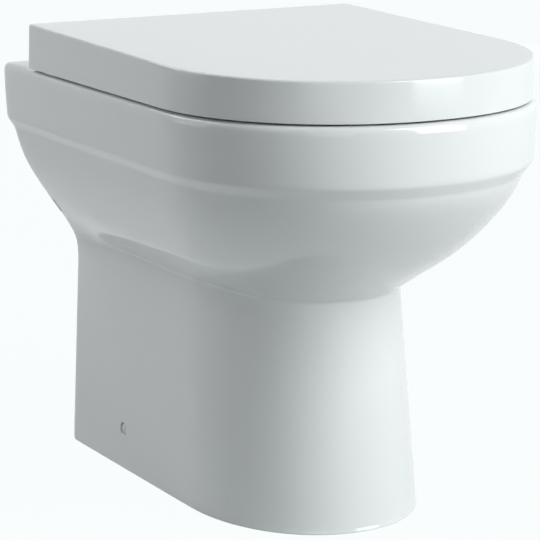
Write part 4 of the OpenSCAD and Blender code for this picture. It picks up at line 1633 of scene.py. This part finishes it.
    def body(self) -> bpy.types.Object:
        """Draw the right hinge body: foot, neck and barrel, bored for dampers and button.

        Returns:
            The closed mesh, in millimetres.
        """
        x = self.spread
        body = side_plate("hinge_neck", ((66, 404.6), (102, 404.6), (102, 420), (98, 424),
                                         (76, 424), (72, 425), (66, 425)), x - 12, x + 12)
        foot = turned("foot", ((16, 404.6), (16, 424)), 72)
        Bench.place(foot, (0, 0, 0), (x, -self.behind, 0))
        Bench.cut(body, foot, "UNION")
        Bench.cut(body, self.barrel("barrel", 10.5, x - 13.5, x + 13.5), "UNION")
        Bench.cut(body, self.barrel("bore", 7.5, x - 20, x + 20))
        post = turned("post", ((6.1, 400), (6.1, 420), (5.05, 420), (5.05, 430)), 48)
        Bench.place(post, (0, 0, 0), (x, -self.behind, 0))
        Bench.cut(body, post)
        Bench.soften(body, 0.7, 3, 30)
        return body

    def arm(self, eye: tuple[float, float], plate: tuple[float, float],
            side_view: Sequence[tuple[float, float]], screws: Sequence[float],
            name: str) -> bpy.types.Object:
        """Draw a right hinge arm.

        Args:
            eye: where its eye begins and ends along the axis.
            plate: where its plate begins and ends along the axis.
            side_view: the plate's corners, each a distance from the wall and a height.
            screws: distances of its screw holes from the wall.
            name: name of the piece.

        Returns:
            The closed arm.
        """
        arm = side_plate(name, side_view, *plate)
        Bench.cut(arm, self.barrel("eye", 9.5, *eye), "UNION")
        Bench.cut(arm, self.barrel("eye_bore", 4.05, eye[0] - 2, eye[1] + 2))
        for far in screws:
            hole = turned("hole", ((2.0, 390), (2.0, 450)), 24)
            Bench.place(hole, (0, 0, 0), (sum(plate) / 2, -far, 0))
            Bench.cut(arm, hole)
        Bench.soften(arm, 0.5, 2, 30)
        return arm

    def both(self, right: bpy.types.Object, name: str, node: str, body: str) -> None:
        """Dress a right piece and its left twin in brushed steel.

        Args:
            right: the right piece.
            name: the pieces' name, without the side.
            node: the CAD nodes' name, without the side.
            body: the CAD body that they ride on.
        """
        left = Bench.twin(right, f"left_{name}")
        for word, piece in (("left", left), ("right", Bench.name(right, f"right_{name}"))):
            Bench.finish(piece, body, Slot.HINGE.value, (FINISHES[Slot.HINGE].material(),),
                         (f"{word}_{node}",))

    def build(self) -> None:
        """Build both hinges and their fixings."""
        for piece in self.under_deck():
            piece.build()
        self.wing_nuts()
        for side in SIDES:
            for piece in self.lathe_work(side):
                piece.build()
        self.both(self.body(), "hinge_casting", "hinge_body", "pan")
        self.both(self.arm((51, 63.5), (51, 60), ((68, 425), (70, 417), (104, 405.05),
                  (158, 405.05), (158, 408), (111, 408), (109, 411), (76, 433)),
                  (126, 147), "seat_strap"), "seat_strap", "seat_arm", "seat")
        self.both(self.arm((91.75, 102.75), (91.75, 102.75), ((67, 425), (67, 438.15),
                  (128, 438.15), (128, 435.2), (86, 435.2), (80, 425)), (96, 116),
                  "lid_strap"), "lid_strap", "lid_arm", "lid")
        for piece in self.screws_and_buffers():
            piece.build()

    def screws_and_buffers(self) -> tuple[Turned, ...]:
        """The screws of the arms, and the buffers of seat and lid.

        Returns:
            The sets of screws and buffers.
        """
        def spots(xs: Sequence[float], ys: Sequence[float]) -> tuple[Point, ...]:
            return tuple((side * x, -y, 0) for side in SIDES for x, y in zip(xs, ys))

        lid = Lid()
        ceiling = lid.top - lid.thick - 0.35
        return (
            Turned("seat_screws", "seat_arm_screws", "seat", Slot.STEEL,
                   ((1.9, 416.4), (1.9, 405.05), (3.3, 405.05), (3.6, 404.7), (3.4, 403.5),
                    (2.6, 403.05)), spots((55.5, 55.5), (126, 147)), cross=(403.0, 0.9),
                   steps=32),
            Turned("lid_screws", "lid_arm_screws", "lid", Slot.STEEL,
                   ((1.9, 441.4), (1.9, 435.25), (3.3, 435.25), (3.6, 434.9), (3.4, 433.7),
                    (2.6, 433.25)), spots((97.25, 97.25), (96, 116)), cross=(433.2, 0.9),
                   steps=32),
            Turned("seat_feet", "seat_buffers", "seat", Slot.BUFFER,
                   ((3, 411), (3, 405.05), (8, 405.05), (8, 401.6), (7.5, 400.6),
                    (6.4, 400.1), (3, 400.02)), spots((62, 150), (490, 250)), steps=40),
            Turned("lid_feet_front", "lid_buffers", "lid", Slot.BUFFER,
                   ((6.2, 425.05), (6.8, 425.4), (7, 426.2),
                    (7, ceiling - lid.slope * (484 - lid.rear))), spots((62,), (484,)), steps=40),
            Turned("lid_feet_side", "lid_buffers", "lid", Slot.BUFFER,
                   ((6.2, 425.05), (6.8, 425.4), (7, 426.2),
                    (7, ceiling - lid.slope * (250 - lid.rear))), spots((146,), (250,)), steps=40),
        )


@dataclass
class FloorFixing:
    """The side fixing of the pan: brackets, sleeves, screws and cover caps."""

    def bracket(self) -> bpy.types.Object:
        """Draw the right bracket: a plate on the floor and a drilled block.

        Returns:
            The closed mesh, in millimetres.
        """
        plate = Bench.cube("bracket", (50, -131, 0.02), (97.5, -101, 4))
        block = Bench.cube("block", (85.5, -128, 0.02), (97.5, -104, 51))
        Bench.cut(plate, block, "UNION")
        Bench.edit(plate)
        Bench.pick_edges(lambda e: all(abs(v.co.x - 85.5) < 0.1 and abs(v.co.z - 4) < 0.1
                                       for v in e.verts))
        bpy.ops.mesh.bevel(offset=5, segments=5)
        Bench.done()
        for turn, radius, place, reach in (((0, 0, 0), 4.25, (62, -116, 0), (-2, 8)),
                                           ((0, 90, 0), 5.1, (0, -116, 41), (80, 100))):
            hole = turned("hole", ((radius, reach[0]), (radius, reach[1])), 40)
            Bench.place(hole, turn, place)
            Bench.cut(plate, hole)
        Bench.soften(plate, 0.8, 3, 40)
        return plate

    def build(self) -> None:
        """Build and dress the whole fixing."""
        right = self.bracket()
        left = Bench.twin(right, "left_foot_bracket")
        for word, piece in (("left", left), ("right", Bench.name(right, "right_foot_bracket"))):
            Bench.finish(piece, "pan", Slot.NYLON.value, (FINISHES[Slot.NYLON].material(),),
                         (f"{word}_floor_bracket",))
        spots, facing = ((0, *FOOT_SCREW),) * 2, (1, -1)
        for piece in (
            Turned("foot_sleeves", "bracket_sleeves", "pan", Slot.NYLON,
                   ((3.1, 85.5), (4.7, 85.5), (5, 85.9), (5, 97.1), (4.7, 97.5), (3.1, 97.5)),
                   spots, Axis.LEFT_RIGHT, True, steps=40, facing=facing),
            Turned("foot_screws", "pan_screws", "pan", Slot.STEEL,
                   ((2.2, 81.5), (3, 83), (3, 104.1), (5.5, 104.1), (5.5, 105.2), (4.8, 106),
                    (3.2, 106.45)), spots, Axis.LEFT_RIGHT, steps=40, facing=facing),
            Turned("foot_caps", "screw_caps", "pan", Slot.CAP,
                   ((5.4, 106.5), (5.7, 106.8), (5.7, 107.9), (5.5, 108.4), (5, 108.75),
                    (4, 109.1), (2.4, 109.35), (1.2, 109.4)), spots, Axis.LEFT_RIGHT,
                   steps=56, facing=facing),
        ):
            piece.build()


# ---- Studio -----------------------------------------------------------------------------


@dataclass(frozen=True)
class Lamp:
    """A soft lamp that faces the toilet.

    Args:
        name: its name.
        azimuth: where it stands, in degrees from the front towards +X.
        elevation: how high it stands, in degrees.
        distance: how far it is, in metres.
        size: its width and height, in metres.
        radiance: how bright its face is.
        mirrored: whether it shows in reflections.
    """

    name: str
    azimuth: float
    elevation: float
    distance: float
    size: tuple[float, float]
    radiance: float
    mirrored: bool = True

    TINT = (0.955, 1.0, 1.0)

    def light(self) -> None:
        """Put the lamp in the scene."""
        data = bpy.data.lights.new(self.name, "AREA")
        data.shape = "RECTANGLE"
        data.size, data.size_y = self.size
        data.energy = self.radiance * math.pi * self.size[0] * self.size[1]
        data.color = self.TINT
        lamp = bpy.data.objects.new(self.name, data)
        lamp.visible_glossy = self.mirrored
        bpy.context.scene.collection.objects.link(lamp)
        a, e = math.radians(self.azimuth), math.radians(self.elevation)
        away = Vector((math.sin(a) * math.cos(e), -math.cos(a) * math.cos(e), math.sin(e)))
        lamp.location = Studio.TARGET + away * self.distance
        lamp.rotation_euler = away.to_track_quat("Z", "Y").to_euler()


@dataclass
class Studio:
    """A pale floor, soft light and the photograph's camera."""

    TARGET = Vector((0, -0.26, 0.22))
    lamps: tuple[Lamp, ...] = (
        Lamp("key_high", 30, 42, 3.2, (1.5, 1.5), 7.8),
        Lamp("key_low", 30, 12, 3.2, (1.5, 1.5), 5.5),
        Lamp("front_left", -30, 12, 3.2, (1.5, 1.5), 0.8),
        Lamp("left", -120, 12, 3.2, (1.5, 1.5), 1.2),
        Lamp("left_high", -120, 42, 3.2, (1.5, 1.5), 1.3),
        Lamp("rear_high", -150, 42, 3.2, (1.5, 1.5), 4.0),
        Lamp("rear_right", 130, 10, 3.2, (1.5, 1.5), 3.5, mirrored=False),
    )
    ambient: float = 0.0
    azimuth: float = -29.95
    pitch: float = 12.79
    roll: float = 0.197
    distance: float = 2.3738
    focal_px: float = 2484.6
    centre_px: tuple[float, float] = (291.17, 270.07)
    frame_px: float = 540.0

    def build(self) -> None:
        """Set the stage."""
        self.world()
        self.floor()
        for lamp in self.lamps:
            lamp.light()
        self.camera()
        bpy.context.scene.view_settings.view_transform = "Standard"

    def seen(self, graph: Graph) -> bpy.types.NodeSocket:
        """A value that is 1 for camera, glossy and transmission rays.

        Args:
            graph: the tree to add the nodes to.

        Returns:
            The value's socket.
        """
        path = graph.add("LightPath").outputs
        both = graph.add("Math", {"operation": "MAXIMUM"}, i0=path["Is Camera Ray"],
                         i1=path["Is Glossy Ray"])
        return graph.add("Math", {"operation": "MAXIMUM"}, i0=both.outputs[0],
                         i1=path["Is Transmission Ray"]).outputs[0]

    def world(self) -> None:
        """White where it is seen, with no light of its own on the object."""
        world = bpy.data.worlds.new("Studio")
        bpy.context.scene.world = world
        world.use_nodes = True
        graph = Graph(world.node_tree)
        strength = graph.add("MapRange", Value=self.seen(graph), To_Min=self.ambient,
                             To_Max=1.0)
        back = graph.add("Background", Color=(0.965, 1.0, 1.0, 1.0),
                         Strength=strength.outputs[0])
        graph.add("OutputWorld", Surface=back.outputs[0])

    def floor(self) -> None:
        """A pale floor, near white where it is seen, so that no shadow can be made out on it."""
        Bench.hold()
        bpy.ops.mesh.primitive_plane_add(size=14)
        floor = Bench.name(bpy.context.object, "studio_floor")
        material = bpy.data.materials.new("StudioFloor")
        material.use_nodes = True
        graph = Graph(material.node_tree)
        matt = graph.add("BsdfDiffuse", Color=(0.5, 0.515, 0.515, 1.0))
        glow = graph.add("Emission", Color=(0.965, 1.0, 1.0, 1.0), Strength=1.0)
        share = graph.add("Math", {"operation": "MULTIPLY"}, i0=self.seen(graph), i1=0.97)
        both = graph.add("MixShader", Fac=share.outputs[0])
        graph.tree.links.new(matt.outputs[0], both.inputs[1])
        graph.tree.links.new(glow.outputs[0], both.inputs[2])
        graph.add("OutputMaterial", Surface=both.outputs[0])
        floor.data.materials.append(material)

    def camera(self) -> None:
        """Put the camera at the photograph's viewing angle."""
        a, e, r = (math.radians(v) for v in (self.azimuth, self.pitch, self.roll))
        back = Vector((math.sin(a) * math.cos(e), -math.cos(a) * math.cos(e), math.sin(e)))
        right = (-back).cross(Vector((0, 0, 1))).normalized()
        up = right.cross(-back)
        right, up = (right * math.cos(r) + up * math.sin(r),
                     up * math.cos(r) - right * math.sin(r))
        data = bpy.data.cameras.new("photo_camera")
        data.lens = self.focal_px / self.frame_px * data.sensor_width
        data.shift_x = (self.frame_px / 2 - self.centre_px[0]) / self.frame_px
        data.shift_y = (self.centre_px[1] - self.frame_px / 2) / self.frame_px
        camera = bpy.data.objects.new("photo_camera", data)
        bpy.context.scene.collection.objects.link(camera)
        turn = Matrix((right, up, back)).transposed().to_4x4()
        camera.matrix_world = Matrix.Translation(self.TARGET + back * self.distance) @ turn
        bpy.context.scene.camera = camera


# ---- All of it --------------------------------------------------------------------------


def carried_over() -> None:
    """Dress the CAD nodes that are shown as they are."""
    slots = {}
    for name, node in frame["nodes"].items():
        if node.hide_render:
            continue
        slot = Slot(node.data.materials[0].name.split(".")[0])
        if slot not in slots:
            slots[slot] = FINISHES[slot].material()
        node.data.materials.clear()
        node.data.materials.append(slots[slot])
        LOG.info("%s: a CAD node, dressed as %s", name, slot.value)


def main() -> None:
    """Build the toilet and its stage."""
    logging.basicConfig(level=logging.INFO, format="%(message)s")
    Pan().build()
    Lid().build()
    Seat().build()
    Hinges().build()
    FloorFixing().build()
    carried_over()
    Studio().build()


if __name__ == "__main__":
    main()
